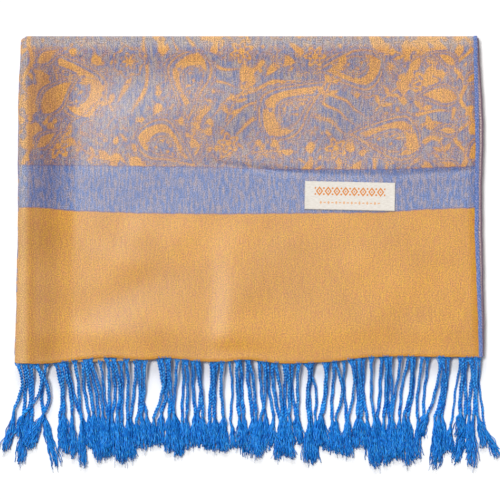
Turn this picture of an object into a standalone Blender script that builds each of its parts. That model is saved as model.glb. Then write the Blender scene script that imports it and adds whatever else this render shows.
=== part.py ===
"""A silk shawl, folded lengthwise once and then crosswise, lying flat with one fringed hem on top.

Frame: metres, +Z up, the surface it lies on is z = 0. +Y runs from the fringed hem to the crosswise
fold, +X from the lengthwise fold to the selvedges. The origin is the middle of the underside.
"""

import math
from collections import namedtuple

import bmesh
import bpy
import numpy as np

MM = 0.001

# ---------------------------------------------------------------- driving dimensions
WALL = 1.0 * MM  # one layer of cloth, as a solid wall
LAYER_GAP = 0.4 * MM  # air between the two layers of the top panel
SEAM = 0.3 * MM  # gap between neighbouring pieces
STACK_HEIGHT = 8.3 * MM  # the hidden panels, from the surface up
LEDGE_HEIGHT = 5.45 * MM  # top of the third hidden layer, which the turned cloth end lies on
TOP_EDGE = 123.7 * MM  # y of the crosswise fold
NEAR_EDGE = -123.0 * MM  # y of the hem, on average
SELVEDGE_WIDTH = 3.2 * MM
SELVEDGE_PROUD = 0.15 * MM  # how much thicker the woven edge is than the cloth
CORNER_ROUND = 2.4 * MM  # how far the folded corner draws in
CORNER_REACH = 6.0 * MM

LABEL_WIDTH = 69.0 * MM
LABEL_DEPTH = 21.7 * MM
LABEL_CENTRE = (76.6 * MM, 1.5 * MM)
LABEL_TURN = math.radians(-1.2)
LABEL_COLUMNS = 9
LABEL_ROWS = 4

STRIP_DEPTH = 1.6 * MM  # the hem stitching that the fringe hangs from
STRIP_END = 1.2 * MM  # how far it runs past its outermost strands
ROOT_WIDTH = 1.8 * MM
ROOT_GAP = 0.9 * MM  # the least gap between two strands of a row, at their roots and knots
TAIL_GAP = 0.4 * MM  # and at their ends
KNOT_VARY = 2.5 * MM  # how far knots and ends lie in and out of line
TIP_VARY = 3.5 * MM
CORD = 1.9 * MM  # a twisted strand
KNOT = 3.0 * MM
TAIL_WIDTH = 4.6 * MM
TAIL_THICK = 1.6 * MM
KNOT_HALF = 1.7 * MM  # half of a knot's length
SEED = 11

# Heights that follow from the above
LOWER_BOTTOM = STACK_HEIGHT + SEAM
LOWER_TOP = LOWER_BOTTOM + WALL
UPPER_BOTTOM = LOWER_TOP + LAYER_GAP
UPPER_TOP = UPPER_BOTTOM + WALL
SIDE_RADIUS = (UPPER_TOP - LOWER_BOTTOM) / 2  # the lengthwise fold, outside
SIDE_AXIS_Z = LOWER_BOTTOM + SIDE_RADIUS
TURN_AXIS_Z = STACK_HEIGHT + SEAM / 2  # the crosswise fold turns about this line
TURN_RADIUS = UPPER_TOP - TURN_AXIS_Z
TURN_AXIS_Y = TOP_EDGE - TURN_RADIUS

# ---------------------------------------------------------------- outline and folds, in millimetres
Edge = namedtuple("Edge", "along across")
LEFT_FOLD = [  # along = y, across = x of the lengthwise fold
    Edge(-126, -179.3),
    Edge(-110, -178.5),
    Edge(-82, -177.6),
    Edge(-18, -176.3),
    Edge(73, -176.1),
    Edge(124, -173.6),
]
RIGHT_EDGE = [  # along = y, across = x of the top layer's selvedge
    Edge(-126, 178.4),
    Edge(-85, 177.2),
    Edge(-24, 174.9),
    Edge(14, 175.3),
    Edge(44, 175.6),
    Edge(124, 173.9),
]
UNDER_EDGE = [  # along = y, across = x of the under layer's selvedge
    Edge(-126, 178.9),
    Edge(-104, 179.4),
    Edge(-58, 178.4),
    Edge(0, 177.4),
    Edge(55, 178.9),
    Edge(124, 174.8),
]
HEM = [  # along = x, across = y of the top layer's hem
    Edge(-180, -125.5),
    Edge(-156, -126.3),
    Edge(-126, -122.5),
    Edge(-108, -121.0),
    Edge(-80, -123.3),
    Edge(-65, -121.2),
    Edge(-35, -124.6),
    Edge(-19, -124.6),
    Edge(-4, -122.6),
    Edge(26, -126.2),
    Edge(64, -124.6),
    Edge(87, -121.2),
    Edge(110, -120.3),
    Edge(180, -121.3),
]
UNDER_HEM = [  # along = x, across = y of the under layer's hem
    Edge(-180, -124.9),
    Edge(-150, -125.4),
    Edge(-108, -124.2),
    Edge(-82, -124.0),
    Edge(-60, -121.6),
    Edge(0, -122.2),
    Edge(30, -124.5),
    Edge(75, -122.8),
    Edge(95, -120.2),
    Edge(180, -120.6),
]

# Each soft fold of the top layer is a ridge (rise > 0) or a trough (rise < 0) along a straight line.
Fold = namedtuple("Fold", "x0 y0 x1 y1 reach rise")
LIFT = 0.9  # the top layer's general lift off the one under it
FOLDS = [
    Fold(-152, 75, -153, -118, 13, -0.75),
    Fold(-134, 82, -134, -112, 9, 0.35),
    Fold(-150, 104, 150, 106, 13, -0.55),
    Fold(-110, 72, -10, 76, 24, 0.45),
    Fold(-21, -18, -19, -112, 11, 0.80),
    Fold(-47, -30, -44, -84, 15, -0.45),
    Fold(-138, -88, -34, -50, 13, 0.40),
    Fold(-40, 28, 168, 20, 9, -0.35),
]

# A row for each hidden panel, from the surface up: how far it stands out past the top panel
# at its lengthwise fold, its selvedges, the hem end and the far end.
Panel = namedtuple("Panel", "thickness left right near far")
PANELS = [
    Panel(1.09, 0.2, -0.9, -2.2, -3.4),
    Panel(1.09, -0.6, 0.9, -2.0, -2.0),
    Panel(1.09, 0.9, 0.1, -2.8, -2.2),
    Panel(1.09, 0.4, 1.2, -2.9, -0.9),
    Panel(1.09, 1.0, -0.7, -1.7, -1.1),
    Panel(2.85, -0.5, 0.4, -1.6, None),
]
GROOVE = 0.9 * MM  # how deep the line between two panels is
GROOVE_SHARES = ((0.0, 1.0), (0.3, 0.08), (0.7, 0.08))  # share of a panel's height, share of the groove
STACK_SIDE_Y = np.linspace(-112, 112, 8) * MM  # where its long outline has its points
STACK_END_X = np.linspace(-166, 166, 11) * MM
STACK_CORNER = 4.0 * MM  # its corners are rounded over this distance
RIPPLE = 0.35 * MM  # how far its edges waver
RIPPLE_PHASE = 1.3  # how far the waver of one panel is ahead of the next
Waver = namedtuple("Waver", "near right far left")
WAVER_LENGTH = Waver(31 * MM, 23 * MM, 39 * MM, 27 * MM)

# A row for each clump of the fringe, in millimetres: where its first and last strand leave the hem,
# where their knots lie, where they end, how far they bow sideways, and how many there are.
Clump = namedtuple("Clump", "root0 root1 knot0 knot1 tip0 tip1 knot_y tip_y bow count")
CLUMPS = [
    Clump(-177, -167, -180, -166, -186, -167, -162, -197, 4.0, 4),
    Clump(-165, -155, -165, -157, -164, -149, -163, -199, 3.0, 4),
    Clump(-148, -133, -145, -130, -144, -126, -165, -201, -1.5, 6),
    Clump(-127, -114, -124, -113, -121, -109, -164, -201, -1.0, 6),
    Clump(-112, -93, -110, -95, -108, -91, -166, -199, 0.0, 6),
    Clump(-89, -79, -92, -77, -89, -74, -166, -193, 1.5, 4),
    Clump(-70, -60, -73, -56, -70, -53, -168, -194, 1.5, 6),
    Clump(-56, -38, -52, -36, -51, -34, -167, -191, -1.0, 6),
    Clump(-30, -15, -32, -14, -30, -13, -168, -191, 1.0, 5),
    Clump(-10, 0, -7, 3, -8, 6, -167, -194, -1.0, 5),
    Clump(7, 22, 7, 24, 10, 23, -167, -195, -1.0, 5),
    Clump(25, 38, 25, 38, 27, 38, -168, -196, 0.0, 5),
    Clump(42, 48, 44, 50, 43, 52, -170, -199, -1.5, 3),
    Clump(55, 69, 54, 67, 55, 70, -170, -195, 0.5, 5),
    Clump(72, 89, 73, 89, 73, 87, -170, -196, 0.5, 6),
    Clump(92, 108, 94, 108, 94, 108, -172, -203, -1.0, 5),
    Clump(114, 124, 111, 124, 111, 124, -170, -201, 0.0, 5),
    Clump(131, 137, 127, 134, 126, 131, -168, -196, -1.5, 3),
    Clump(143, 153, 140, 150, 139, 150, -175, -202, 1.0, 5),
    Clump(160, 169, 154, 166, 153, 166, -176, -199, 1.5, 5),
    Clump(170, 177, 170, 180, 171, 188, -175, -196, 1.0, 4),
]

# A row for each ring of a strand: its place as a share of the cord (at most 1) or past the knot, as a
# share of the tail; how many knot half-lengths are added; and its width and thickness.
Ring = namedtuple("Ring", "cord tail knots width thick")
RINGS = [
    Ring(0.06, 0, 0.0, ROOT_WIDTH, 1.1 * MM),
    Ring(0.28, 0, 0.0, CORD, 0.85 * CORD),
    Ring(0.52, 0, 0.0, CORD, CORD),
    Ring(0.76, 0, 0.0, CORD, CORD),
    Ring(1, 0, -1.5, CORD, CORD),
    Ring(1, 0, -0.5, KNOT, KNOT),
    Ring(1, 0, 0.5, KNOT, KNOT),
    Ring(1, 0, 2.0, 0.7 * KNOT, TAIL_THICK),
    Ring(1, 0.62, 0.0, TAIL_WIDTH, TAIL_THICK),
    Ring(1, 1, 0.0, 0.8 * TAIL_WIDTH, 0.6 * TAIL_THICK),
]

# A row for each of the two rows of strands: height of its strip, of its resting cords, knots and
# tips, and how far from the hem it starts and ends its fall.
Row = namedtuple("Row", "strip_z cord_z knot_z tip_z fall_from fall_to")
UPPER_ROW = Row(10.5, 4.9, 5.4, 3.0, 3.0, 31.0)
LOWER_ROW = Row(9.1, 1.6, 2.0, 1.3, 0.0, 22.0)


# ---------------------------------------------------------------- small helpers
def smooth(t):
    """0 below 0, 1 above 1, and a smooth step between."""
    t = np.clip(t, 0.0, 1.0)
    return t * t * (3 - 2 * t)


def edge(table, at):
    """The edge's place at a distance along it, both in metres."""
    along = [row.along * MM for row in table]
    across = [row.across * MM for row in table]
    return np.interp(at, along, across)


def corner(y):
    """How far the folded corners draw in near the crosswise fold."""
    return CORNER_ROUND * np.clip((y - TOP_EDGE + CORNER_REACH) / CORNER_REACH, 0, 1) ** 2


def lift(x, y):
    """The top layer's height over its flat place: its folds, faded out at the edges."""
    total = np.full(np.broadcast(x, y).shape, LIFT)
    for fold in FOLDS:
        run = np.array([fold.x1 - fold.x0, fold.y1 - fold.y0]) * MM
        length = float(np.hypot(*run))
        from_x = x - fold.x0 * MM
        from_y = y - fold.y0 * MM
        along = (from_x * run[0] + from_y * run[1]) / length
        off = (from_x * run[1] - from_y * run[0]) / length
        beyond = np.maximum(0, np.maximum(-along, along - length))
        total = total + fold.rise * np.exp(-(off**2 + beyond**2) / (fold.reach * MM) ** 2)
    sides = smooth((x - edge(LEFT_FOLD, y)) / (9 * MM)) * smooth((edge(RIGHT_EDGE, y) - x) / (14 * MM))
    ends = smooth((y - edge(HEM, x) - 2 * MM) / (12 * MM)) * smooth((TURN_AXIS_Y - y) / (14 * MM))
    return np.maximum(total, 0.05) * sides * ends * MM


def add_object(name, points, faces, material):
    """A mesh object with its faces pointing outwards."""
    mesh = bpy.data.meshes.new(name)
    mesh.from_pydata([tuple(p) for p in points], [], faces)
    shape = bmesh.new()
    shape.from_mesh(mesh)
    bmesh.ops.recalc_face_normals(shape, faces=shape.faces)
    shape.to_mesh(mesh)
    shape.free()
    mesh.shade_smooth()
    mesh.set_sharp_from_angle(angle=math.radians(40))
    mesh.materials.append(material)
    piece = bpy.data.objects.new(name, mesh)
    bpy.context.collection.objects.link(piece)
    return piece


def thick_sheet(name, outer, inner, material):
    """A closed wall between two grids of points with the same rows and columns."""
    rows, columns, _ = outer.shape
    points = np.concatenate([outer.reshape(-1, 3), inner.reshape(-1, 3)])
    inside = rows * columns
    faces = []
    for r in range(rows - 1):
        for c in range(columns - 1):
            a, b = r * columns + c, (r + 1) * columns + c
            faces.append((a, a + 1, b + 1, b))
            faces.append((inside + a, inside + b, inside + b + 1, inside + a + 1))
    for r in range(rows - 1):
        for c in (0, columns - 1):
            a, b = r * columns + c, (r + 1) * columns + c
            faces.append((a, b, inside + b, inside + a))
    for c in range(columns - 1):
        for r in (0, rows - 1):
            a = r * columns + c
            faces.append((a, a + 1, inside + a + 1, inside + a))
    return add_object(name, points, faces, material)


def cloth_material(name, colour, roughness):
    """A plain principled material."""
    material = bpy.data.materials.new(name)
    material.use_nodes = True
    shader = material.node_tree.nodes["Principled BSDF"]
    shader.inputs["Base Color"].default_value = (*colour, 1)
    shader.inputs["Roughness"].default_value = roughness
    shader.inputs["Metallic"].default_value = 0.0
    material.diffuse_color = (*colour, 1)
    return material


# ---------------------------------------------------------------- the top panel
PANEL_ROWS = 18
TURN_STEPS = 6
SIDE_STEPS = 4
FOLD_COLUMNS = [-174, -166, -143, -134, -50, -27, -12, 5, 45, 135, 160]  # besides the hem's own points


def rows_of_panel():
    """For each row of points: its share of the way from hem to turn, and its angle in the turn."""
    flat = [(share, 0.0) for share in np.linspace(0, 1, PANEL_ROWS)]
    turned = [(1.0, math.pi * step / TURN_STEPS) for step in range(1, TURN_STEPS + 1)]
    return flat + turned


def laid_or_turned(x, y, z, angle):
    """A point of the panel, or the same point carried round the crosswise fold by an angle."""
    radius = z - TURN_AXIS_Z
    if angle > 0:
        y = TURN_AXIS_Y + radius * math.sin(angle)
        z = TURN_AXIS_Z + radius * math.cos(angle)
    return np.stack(np.broadcast_arrays(x, y, z), axis=-1)


def middle_y(share):
    """A row's y, where the left and right edges are read."""
    return NEAR_EDGE + share * (TURN_AXIS_Y - NEAR_EDGE)


def column_shares(table, extra, left, right):
    """Shares of the way from left to right at which a layer has its columns of points."""
    places = sorted({row.along for row in table} | set(extra))
    inside = [(place * MM - left) / (right - left) for place in places]
    return np.array([0.0] + [share for share in inside if 0.005 < share < 0.995] + [1.0])


def panel_points(side):
    """The top panel's outer (side = 1) or inner (side = -1) face.

    Each row runs from the top layer's selvedge leftwards, round the lengthwise fold, and back
    along the under layer to its own selvedge.
    """
    left = edge(LEFT_FOLD, middle_y(0)) + SIDE_RADIUS
    right = edge(RIGHT_EDGE, middle_y(0)) - SELVEDGE_WIDTH - SEAM
    upper_shares = column_shares(HEM, FOLD_COLUMNS, left, right)[::-1]
    lower_shares = column_shares(UNDER_HEM, [], left, edge(UNDER_EDGE, middle_y(0)))[1:]
    grid = []
    for share, angle in rows_of_panel():
        y_row = middle_y(share)
        drawn_in = corner(TURN_AXIS_Y + TURN_RADIUS * math.sin(angle)) if share == 1 else corner(y_row)
        left = edge(LEFT_FOLD, y_row) + drawn_in + SIDE_RADIUS
        right = edge(RIGHT_EDGE, y_row) - SELVEDGE_WIDTH - SEAM
        under = edge(UNDER_EDGE, y_row)

        x = left + upper_shares[:-1] * (right - left)
        hem = edge(HEM, x)
        y = hem + share * (TURN_AXIS_Y - hem)
        z = (UPPER_TOP if side > 0 else UPPER_BOTTOM) + lift(x, y)
        upper = laid_or_turned(x, y, z, angle)

        swing = math.pi * np.arange(SIDE_STEPS + 1) / SIDE_STEPS
        radius = SIDE_RADIUS if side > 0 else SIDE_RADIUS - WALL
        x = left - radius * np.sin(swing)
        hem = edge(HEM, left) + (edge(UNDER_HEM, left) - edge(HEM, left)) * swing / math.pi
        y = hem + share * (TURN_AXIS_Y - hem)
        z = SIDE_AXIS_Z + radius * np.cos(swing)
        fold = laid_or_turned(x, y, z, angle)

        x = left + lower_shares * (under - left)
        hem = edge(UNDER_HEM, x)
        y = hem + share * (TURN_AXIS_Y - hem)
        z = np.full(len(x), LOWER_BOTTOM if side > 0 else LOWER_TOP)
        lower = laid_or_turned(x, y, z, angle)
        grid.append(np.concatenate([upper, fold, lower]))
    return np.array(grid)


def add_top_panel(material):
    thick_sheet("front_cloth", panel_points(1), panel_points(-1), material)


def add_selvedge(material):
    """The woven edge of the top layer, along the panel and round the crosswise fold."""
    profile_x = np.array([1.0, 0.85, 0.15, 0.0])
    proud = np.array([-0.25, 1.0, 1.0, 0.0])
    outer, inner = [], []
    for share, angle in rows_of_panel():
        y_row = middle_y(share)
        right = edge(RIGHT_EDGE, y_row)
        x = right - SELVEDGE_WIDTH * profile_x[::-1]
        hem = edge(HEM, x)
        y = hem + share * (TURN_AXIS_Y - hem)
        rise = lift(x, y)
        outer.append(laid_or_turned(x, y, UPPER_TOP + rise + SELVEDGE_PROUD * proud, angle))
        inner.append(laid_or_turned(x, y, UPPER_BOTTOM + rise, angle))
    thick_sheet("selvedge_right", np.array(outer), np.array(inner), material)


def add_label(material):
    """The sewn-on label, made from the top layer's own points and moved out."""
    across = np.linspace(-0.5, 0.5, LABEL_COLUMNS) * LABEL_WIDTH
    along = np.linspace(-0.5, 0.5, LABEL_ROWS) * LABEL_DEPTH
    u, v = np.meshgrid(across, along)
    x = LABEL_CENTRE[0] + u * math.cos(LABEL_TURN) - v * math.sin(LABEL_TURN)
    y = LABEL_CENTRE[1] + u * math.sin(LABEL_TURN) + v * math.cos(LABEL_TURN)
    z = UPPER_TOP + lift(x, y) + SEAM
    outer = np.stack([x, y, z + WALL], axis=-1)
    inner = np.stack([x, y, z], axis=-1)
    thick_sheet("label", outer, inner, material)


# ---------------------------------------------------------------- the hidden panels
def stack_outline(left, right, near, far, phase):
    """A wavy rounded rectangle, anticlockwise, that stands out past the top panel by the given sizes."""
    side_y, end_x, cut = STACK_SIDE_Y, STACK_END_X, STACK_CORNER
    near_y = edge(HEM, end_x) - near + RIPPLE * np.sin(end_x / WAVER_LENGTH.near + phase)
    right_x = edge(RIGHT_EDGE, side_y) + right + RIPPLE * np.sin(side_y / WAVER_LENGTH.right + 2 * phase)
    far_y = TOP_EDGE + far + RIPPLE * np.sin(end_x / WAVER_LENGTH.far + 3 * phase)
    left_x = edge(LEFT_FOLD, side_y) - left + RIPPLE * np.sin(side_y / WAVER_LENGTH.left + 4 * phase)

    def bend(from_x, from_y, to_x, to_y, steep_first):
        """Two points that round a corner between two sides."""
        turn = np.array([0.38, 0.92])
        rise = 1 - np.sqrt(1 - turn**2)
        if steep_first:
            return from_x + (to_x - from_x) * rise, from_y + (to_y - from_y) * turn
        return from_x + (to_x - from_x) * turn, from_y + (to_y - from_y) * rise

    parts = [
        (end_x, near_y),
        bend(right_x[0] - cut, near_y[-1], right_x[0], near_y[-1] + cut, False),
        (right_x, side_y),
        bend(right_x[-1], far_y[-1] - cut, right_x[-1] - cut, far_y[-1], True),
        (end_x[::-1], far_y[::-1]),
        bend(left_x[-1] + cut, far_y[0], left_x[-1], far_y[0] - cut, False),
        (left_x[::-1], side_y[::-1]),
        bend(left_x[0], near_y[0] + cut, left_x[0] + cut, near_y[0], True),
    ]
    return np.concatenate([np.stack(part, axis=-1) for part in parts])


def add_hidden_panels(material):
    """One solid of rounded panels, stacked from the surface up, with a groove between each two."""
    levels = []
    floor_z = 0.0
    for number, panel in enumerate(PANELS):
        sizes = [panel.left * MM, panel.right * MM, panel.near * MM]
        far = TURN_AXIS_Y - SEAM - RIPPLE - TOP_EDGE if panel.far is None else panel.far * MM
        height = panel.thickness * MM
        if floor_z < LEDGE_HEIGHT < floor_z + height:
            height = LEDGE_HEIGHT - floor_z
        for share, depth in GROOVE_SHARES:
            inset = depth * GROOVE
            keep = 0.0 if panel.far is None else inset
            outline = stack_outline(*[size - inset for size in sizes], far - keep, RIPPLE_PHASE * number)
            levels.append(np.column_stack([outline, np.full(len(outline), floor_z + share * height)]))
        floor_z += height
    top = stack_outline(*[size - GROOVE for size in sizes], far, RIPPLE_PHASE * number)
    levels.append(np.column_stack([top, np.full(len(top), STACK_HEIGHT)]))

    round_it = len(top)
    faces = [tuple(range(round_it))[::-1]]
    for level in range(len(levels) - 1):
        for n in range(round_it):
            a, b = level * round_it + n, level * round_it + (n + 1) % round_it
            faces.append((a, b, b + round_it, a + round_it))
    faces.append(tuple(range((len(levels) - 1) * round_it, len(levels) * round_it)))
    add_object("folded_layers", np.concatenate(levels), faces, material)


# ---------------------------------------------------------------- the fringe
def apart(places, least):
    """The places again, in order, moved no more than it takes to stand at least so far apart."""
    places = np.array(places)
    for _ in range(60):
        gap = np.diff(places)
        short = np.maximum(0, least - gap) / 2
        places[:-1] -= short
        places[1:] += short
    return places


def strands(row_number):
    """Root x, knot (x, y), tip (x, y) and bow of each strand in one row, in metres."""
    shake = np.random.default_rng(SEED)
    found = []
    total = 0
    for clump in CLUMPS:
        share = (np.arange(clump.count) + 0.5) / clump.count
        vary = shake.uniform(-1, 1, (clump.count, 2))
        for n in range(clump.count):
            if total % 2 == row_number:
                found.append((
                    clump.root0 + share[n] * (clump.root1 - clump.root0),
                    clump.knot0 + share[n] * (clump.knot1 - clump.knot0),
                    clump.knot_y + vary[n, 0] * KNOT_VARY / MM,
                    clump.tip0 + share[n] * (clump.tip1 - clump.tip0),
                    clump.tip_y + vary[n, 1] * TIP_VARY / MM,
                    clump.bow,
                ))
            total += 1
    table = np.array(found) * MM
    table[:, 0] = apart(table[:, 0], ROOT_WIDTH + ROOT_GAP)
    table[:, 1] = apart(table[:, 1], KNOT + ROOT_GAP)
    table[:, 3] = apart(table[:, 3], TAIL_WIDTH + TAIL_GAP)
    return table


def strand_rings(root_x, hem_y, knot_x, knot_y, tip_x, tip_y, bow, row):
    """Centre, width and thickness of a strand's rings, from the strip to the tip."""
    long = hem_y - knot_y
    tail = knot_y - tip_y
    rings = []
    for ring in RINGS:
        distance = ring.cord * long + ring.tail * tail + ring.knots * KNOT_HALF
        if distance <= long:
            t = distance / long
            x = root_x + (knot_x - root_x) * smooth(t) + bow * math.sin(math.pi * t)
        else:
            t = (distance - long) / tail
            x = knot_x + (tip_x - knot_x) * t - bow * 0.25 * math.sin(math.pi * t)
        fall = smooth((distance - row.fall_from * MM) / ((row.fall_to - row.fall_from) * MM))
        rest = np.interp(distance, [0.8 * long, long, long + 3 * KNOT_HALF, long + tail],
                         [row.cord_z, row.knot_z, row.cord_z, row.tip_z])
        z = row.strip_z + (rest - row.strip_z) * fall
        rings.append((x, hem_y - distance, z * MM, ring.width, ring.thick))
    return rings


def add_fringe(name, hem_table, row, row_number, material):
    """A strip along the hem, with a four-sided strand grown from each root on its outer face."""
    table = strands(row_number)
    half = ROOT_WIDTH / 2
    ends = [table[0, 0] - half - STRIP_END, table[-1, 0] + half + STRIP_END]
    starts = list(table[:, 0] - half)
    stops = list(table[:, 0] + half)
    bends = [at for at in (point.along * MM for point in hem_table)
             if ends[0] < at < ends[1] and np.abs(table[:, 0] - at).min() > half + 0.2 * MM]
    cuts = np.array(sorted(ends + starts + stops + bends))
    roots = np.searchsorted(cuts, table[:, 0]) - 1  # the stretch of the strip that each strand grows from
    back = edge(hem_table, cuts) - SEAM
    front = back - STRIP_DEPTH
    top = (row.strip_z * MM + WALL / 2) * np.ones(len(cuts))
    bottom = top - WALL
    points = np.concatenate([
        np.column_stack([cuts, back, top]),
        np.column_stack([cuts, back, bottom]),
        np.column_stack([cuts, front, bottom]),
        np.column_stack([cuts, front, top]),
    ])
    count = len(cuts)
    points = [tuple(p) for p in points]
    faces = [(0, count, 2 * count, 3 * count)]
    faces.append((4 * count - 1, 3 * count - 1, 2 * count - 1, count - 1))
    for n in range(count - 1):
        for side in range(4):
            if side != 2 or n not in roots:
                a, b = side * count + n, (side + 1) % 4 * count + n
                faces.append((a, a + 1, b + 1, b))
    for n, (root_x, knot_x, knot_y, tip_x, tip_y, bow) in zip(roots, table):
        ring = [2 * count + n, 2 * count + n + 1, 3 * count + n + 1, 3 * count + n]
        hem_y = (front[n] + front[n + 1]) / 2
        rings = strand_rings(root_x, hem_y, knot_x, knot_y, tip_x, tip_y, bow, row)
        centres = np.array([(root_x, hem_y, row.strip_z * MM)] + [r[:3] for r in rings])
        for k, (_, _, _, width, thick) in enumerate(rings):
            ahead = centres[min(k + 2, len(centres) - 1)] - centres[k]
            side_way = np.cross(ahead, (0, 0, 1))
            side_way /= -np.linalg.norm(side_way)
            up_way = np.cross(side_way, ahead)
            up_way /= np.linalg.norm(up_way) * (1 if np.cross(side_way, ahead)[2] > 0 else -1)
            new = []
            for across, up in ((-1, -1), (1, -1), (1, 1), (-1, 1)):
                new.append(len(points))
                away = across * width / 2 * side_way + up * thick / 2 * up_way
                points.append(tuple(centres[k + 1] + away))
            for c in range(4):
                faces.append((ring[c], ring[(c + 1) % 4], new[(c + 1) % 4], new[c]))
            ring = new
        faces.append(tuple(ring))
    add_object(name, points, faces, material)


def main():
    for item in list(bpy.data.objects):
        bpy.data.objects.remove(item, do_unlink=True)
    orange = cloth_material("silk_jacquard_orange", (0.74, 0.40, 0.15), 0.55)
    layers = cloth_material("silk_jacquard_layers", (0.50, 0.33, 0.26), 0.6)
    lilac = cloth_material("silk_selvedge_blue", (0.14, 0.25, 0.58), 0.55)
    white = cloth_material("woven_label_white", (0.86, 0.79, 0.70), 0.7)
    blue = cloth_material("silk_fringe_blue", (0.012, 0.15, 0.52), 0.5)
    add_hidden_panels(layers)
    add_top_panel(orange)
    add_selvedge(lilac)
    add_label(white)
    add_fringe("fringe_upper", HEM, UPPER_ROW, 0, blue)
    add_fringe("fringe_lower", UNDER_HEM, LOWER_ROW, 1, blue)


main()
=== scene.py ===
"""Looks of a silk shawl with a paisley field, folded flat, with one knotted fringe on top.

Frame: metres, +Z up, the surface it lies on is z = 0. +Y runs from the fringed hem to the crosswise
fold, +X from the lengthwise fold to the selvedges. Tables are in millimetres.
"""

import logging
import math
from dataclasses import dataclass
from enum import Enum
from typing import Any, Iterable, NamedTuple, Sequence

import bpy
import numpy as np
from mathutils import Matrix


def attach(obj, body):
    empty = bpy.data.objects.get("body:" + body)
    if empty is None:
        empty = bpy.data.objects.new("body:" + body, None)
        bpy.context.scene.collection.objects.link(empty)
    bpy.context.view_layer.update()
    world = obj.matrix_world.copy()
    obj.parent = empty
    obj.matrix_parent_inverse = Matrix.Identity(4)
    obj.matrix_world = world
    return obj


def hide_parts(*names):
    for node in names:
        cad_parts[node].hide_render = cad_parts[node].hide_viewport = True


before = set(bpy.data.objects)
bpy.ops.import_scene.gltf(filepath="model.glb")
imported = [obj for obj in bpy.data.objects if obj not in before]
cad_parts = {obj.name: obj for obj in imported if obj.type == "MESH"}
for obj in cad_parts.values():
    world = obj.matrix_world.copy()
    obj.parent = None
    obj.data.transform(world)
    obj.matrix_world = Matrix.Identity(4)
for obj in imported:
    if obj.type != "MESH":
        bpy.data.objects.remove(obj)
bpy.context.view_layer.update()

Array = np.ndarray
Socket = bpy.types.NodeSocket
Material = bpy.types.Material
Piece = bpy.types.Object
MM = 0.001
LOG = logging.getLogger("shawl")
SEED = 11
FIBRE_IOR = 1.5  # silk, wool and polyester fibres bend light alike
SHEEN_ROUGHNESS = 0.4  # fine loose fibres give a soft, broad sheen
STITCH_PITCH = 2.3  # mm between the stitches of an oversewn edge
STITCH_SLANT = 0.8  # how far a stitch runs along the edge for each mm across it
ROUND_A_TUBE = 4.0  # mm on the UV map for once round a cord or a fibre
TAIL_AT = 50.0  # mm on the UV map where the tails start, past any cord

# ---------------------------------------------------------------- sizes of the folded cloth
WALL = 1.0 * MM  # one layer of the top panel
LAYER_GAP = 0.4 * MM  # between its top layer and its under layer
SEAM = 0.3 * MM  # between the top panel and the hidden ones
STACK_HEIGHT = 8.3 * MM  # of the hidden panels
TOP_EDGE = 123.7 * MM
NEAR_EDGE = -123.0 * MM
SELVEDGE_WIDTH = 3.2 * MM
CORNER_ROUND = 2.4 * MM  # how far the corners at the crosswise fold draw in
CORNER_REACH = 6.0 * MM  # and over what length
LOWER_BOTTOM = STACK_HEIGHT + SEAM
LOWER_TOP = LOWER_BOTTOM + WALL
UPPER_BOTTOM = LOWER_TOP + LAYER_GAP
UPPER_TOP = UPPER_BOTTOM + WALL
SIDE_RADIUS = (UPPER_TOP - LOWER_BOTTOM) / 2
SIDE_AXIS_Z = LOWER_BOTTOM + SIDE_RADIUS
TURN_AXIS_Z = STACK_HEIGHT + SEAM / 2
TURN_RADIUS = UPPER_TOP - TURN_AXIS_Z
TURN_AXIS_Y = TOP_EDGE - TURN_RADIUS


class Edge(NamedTuple):
    """A point of an outline: how far along it, and its place across, in millimetres."""

    along: float
    across: float


LEFT_FOLD = [Edge(-126, -179.3), Edge(-110, -178.5), Edge(-82, -177.6), Edge(-18, -176.3),
             Edge(73, -176.1), Edge(124, -173.6)]
RIGHT_EDGE = [Edge(-126, 178.4), Edge(-85, 177.2), Edge(-24, 174.9), Edge(14, 175.3),
              Edge(44, 175.6), Edge(124, 173.9)]
UNDER_EDGE = [Edge(-126, 178.9), Edge(-104, 179.4), Edge(-58, 178.4), Edge(0, 177.4),
              Edge(55, 178.9), Edge(124, 174.8)]
HEM = [Edge(-180, -125.5), Edge(-156, -126.3), Edge(-126, -122.5), Edge(-108, -121.0),
       Edge(-80, -123.3), Edge(-65, -121.2), Edge(-35, -124.6), Edge(-19, -124.6), Edge(-4, -122.6),
       Edge(26, -126.2), Edge(64, -124.6), Edge(87, -121.2), Edge(110, -120.3), Edge(180, -121.3)]
UNDER_HEM = [Edge(-180, -124.9), Edge(-150, -125.4), Edge(-108, -124.2), Edge(-82, -124.0),
             Edge(-60, -121.6), Edge(0, -122.2), Edge(30, -124.5), Edge(75, -122.8),
             Edge(95, -120.2), Edge(180, -120.6)]
# Where the woven zones of the cloth meet, from the hem up: plain orange, stripe, paisley field.
STRIPE_NEAR = [Edge(-180, -7.0), Edge(-156, -7.0), Edge(-141, -9.3), Edge(-80, -11.4), Edge(-20, -12.0),
               Edge(100, -10.8), Edge(133, -8.5), Edge(180, -6.9)]
STRIPE_FAR = [Edge(-180, 25.2), Edge(-60, 24.0), Edge(-12, 23.0), Edge(30, 21.6), Edge(110, 21.8),
              Edge(180, 24.4)]


class Crease(NamedTuple):
    """A soft fold along a path: how far it reaches to its left and right, how high, how sharp.

    It fades in over the first share of its path, and out over the last. A power of 0 gives straight
    flanks between rounded bends, as where a fold was pressed.
    """

    path: tuple[tuple[float, float], ...]
    left: float
    right: float
    rise: float
    power: float
    fades: tuple[float, float] = (0.0, 0.0)


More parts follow.
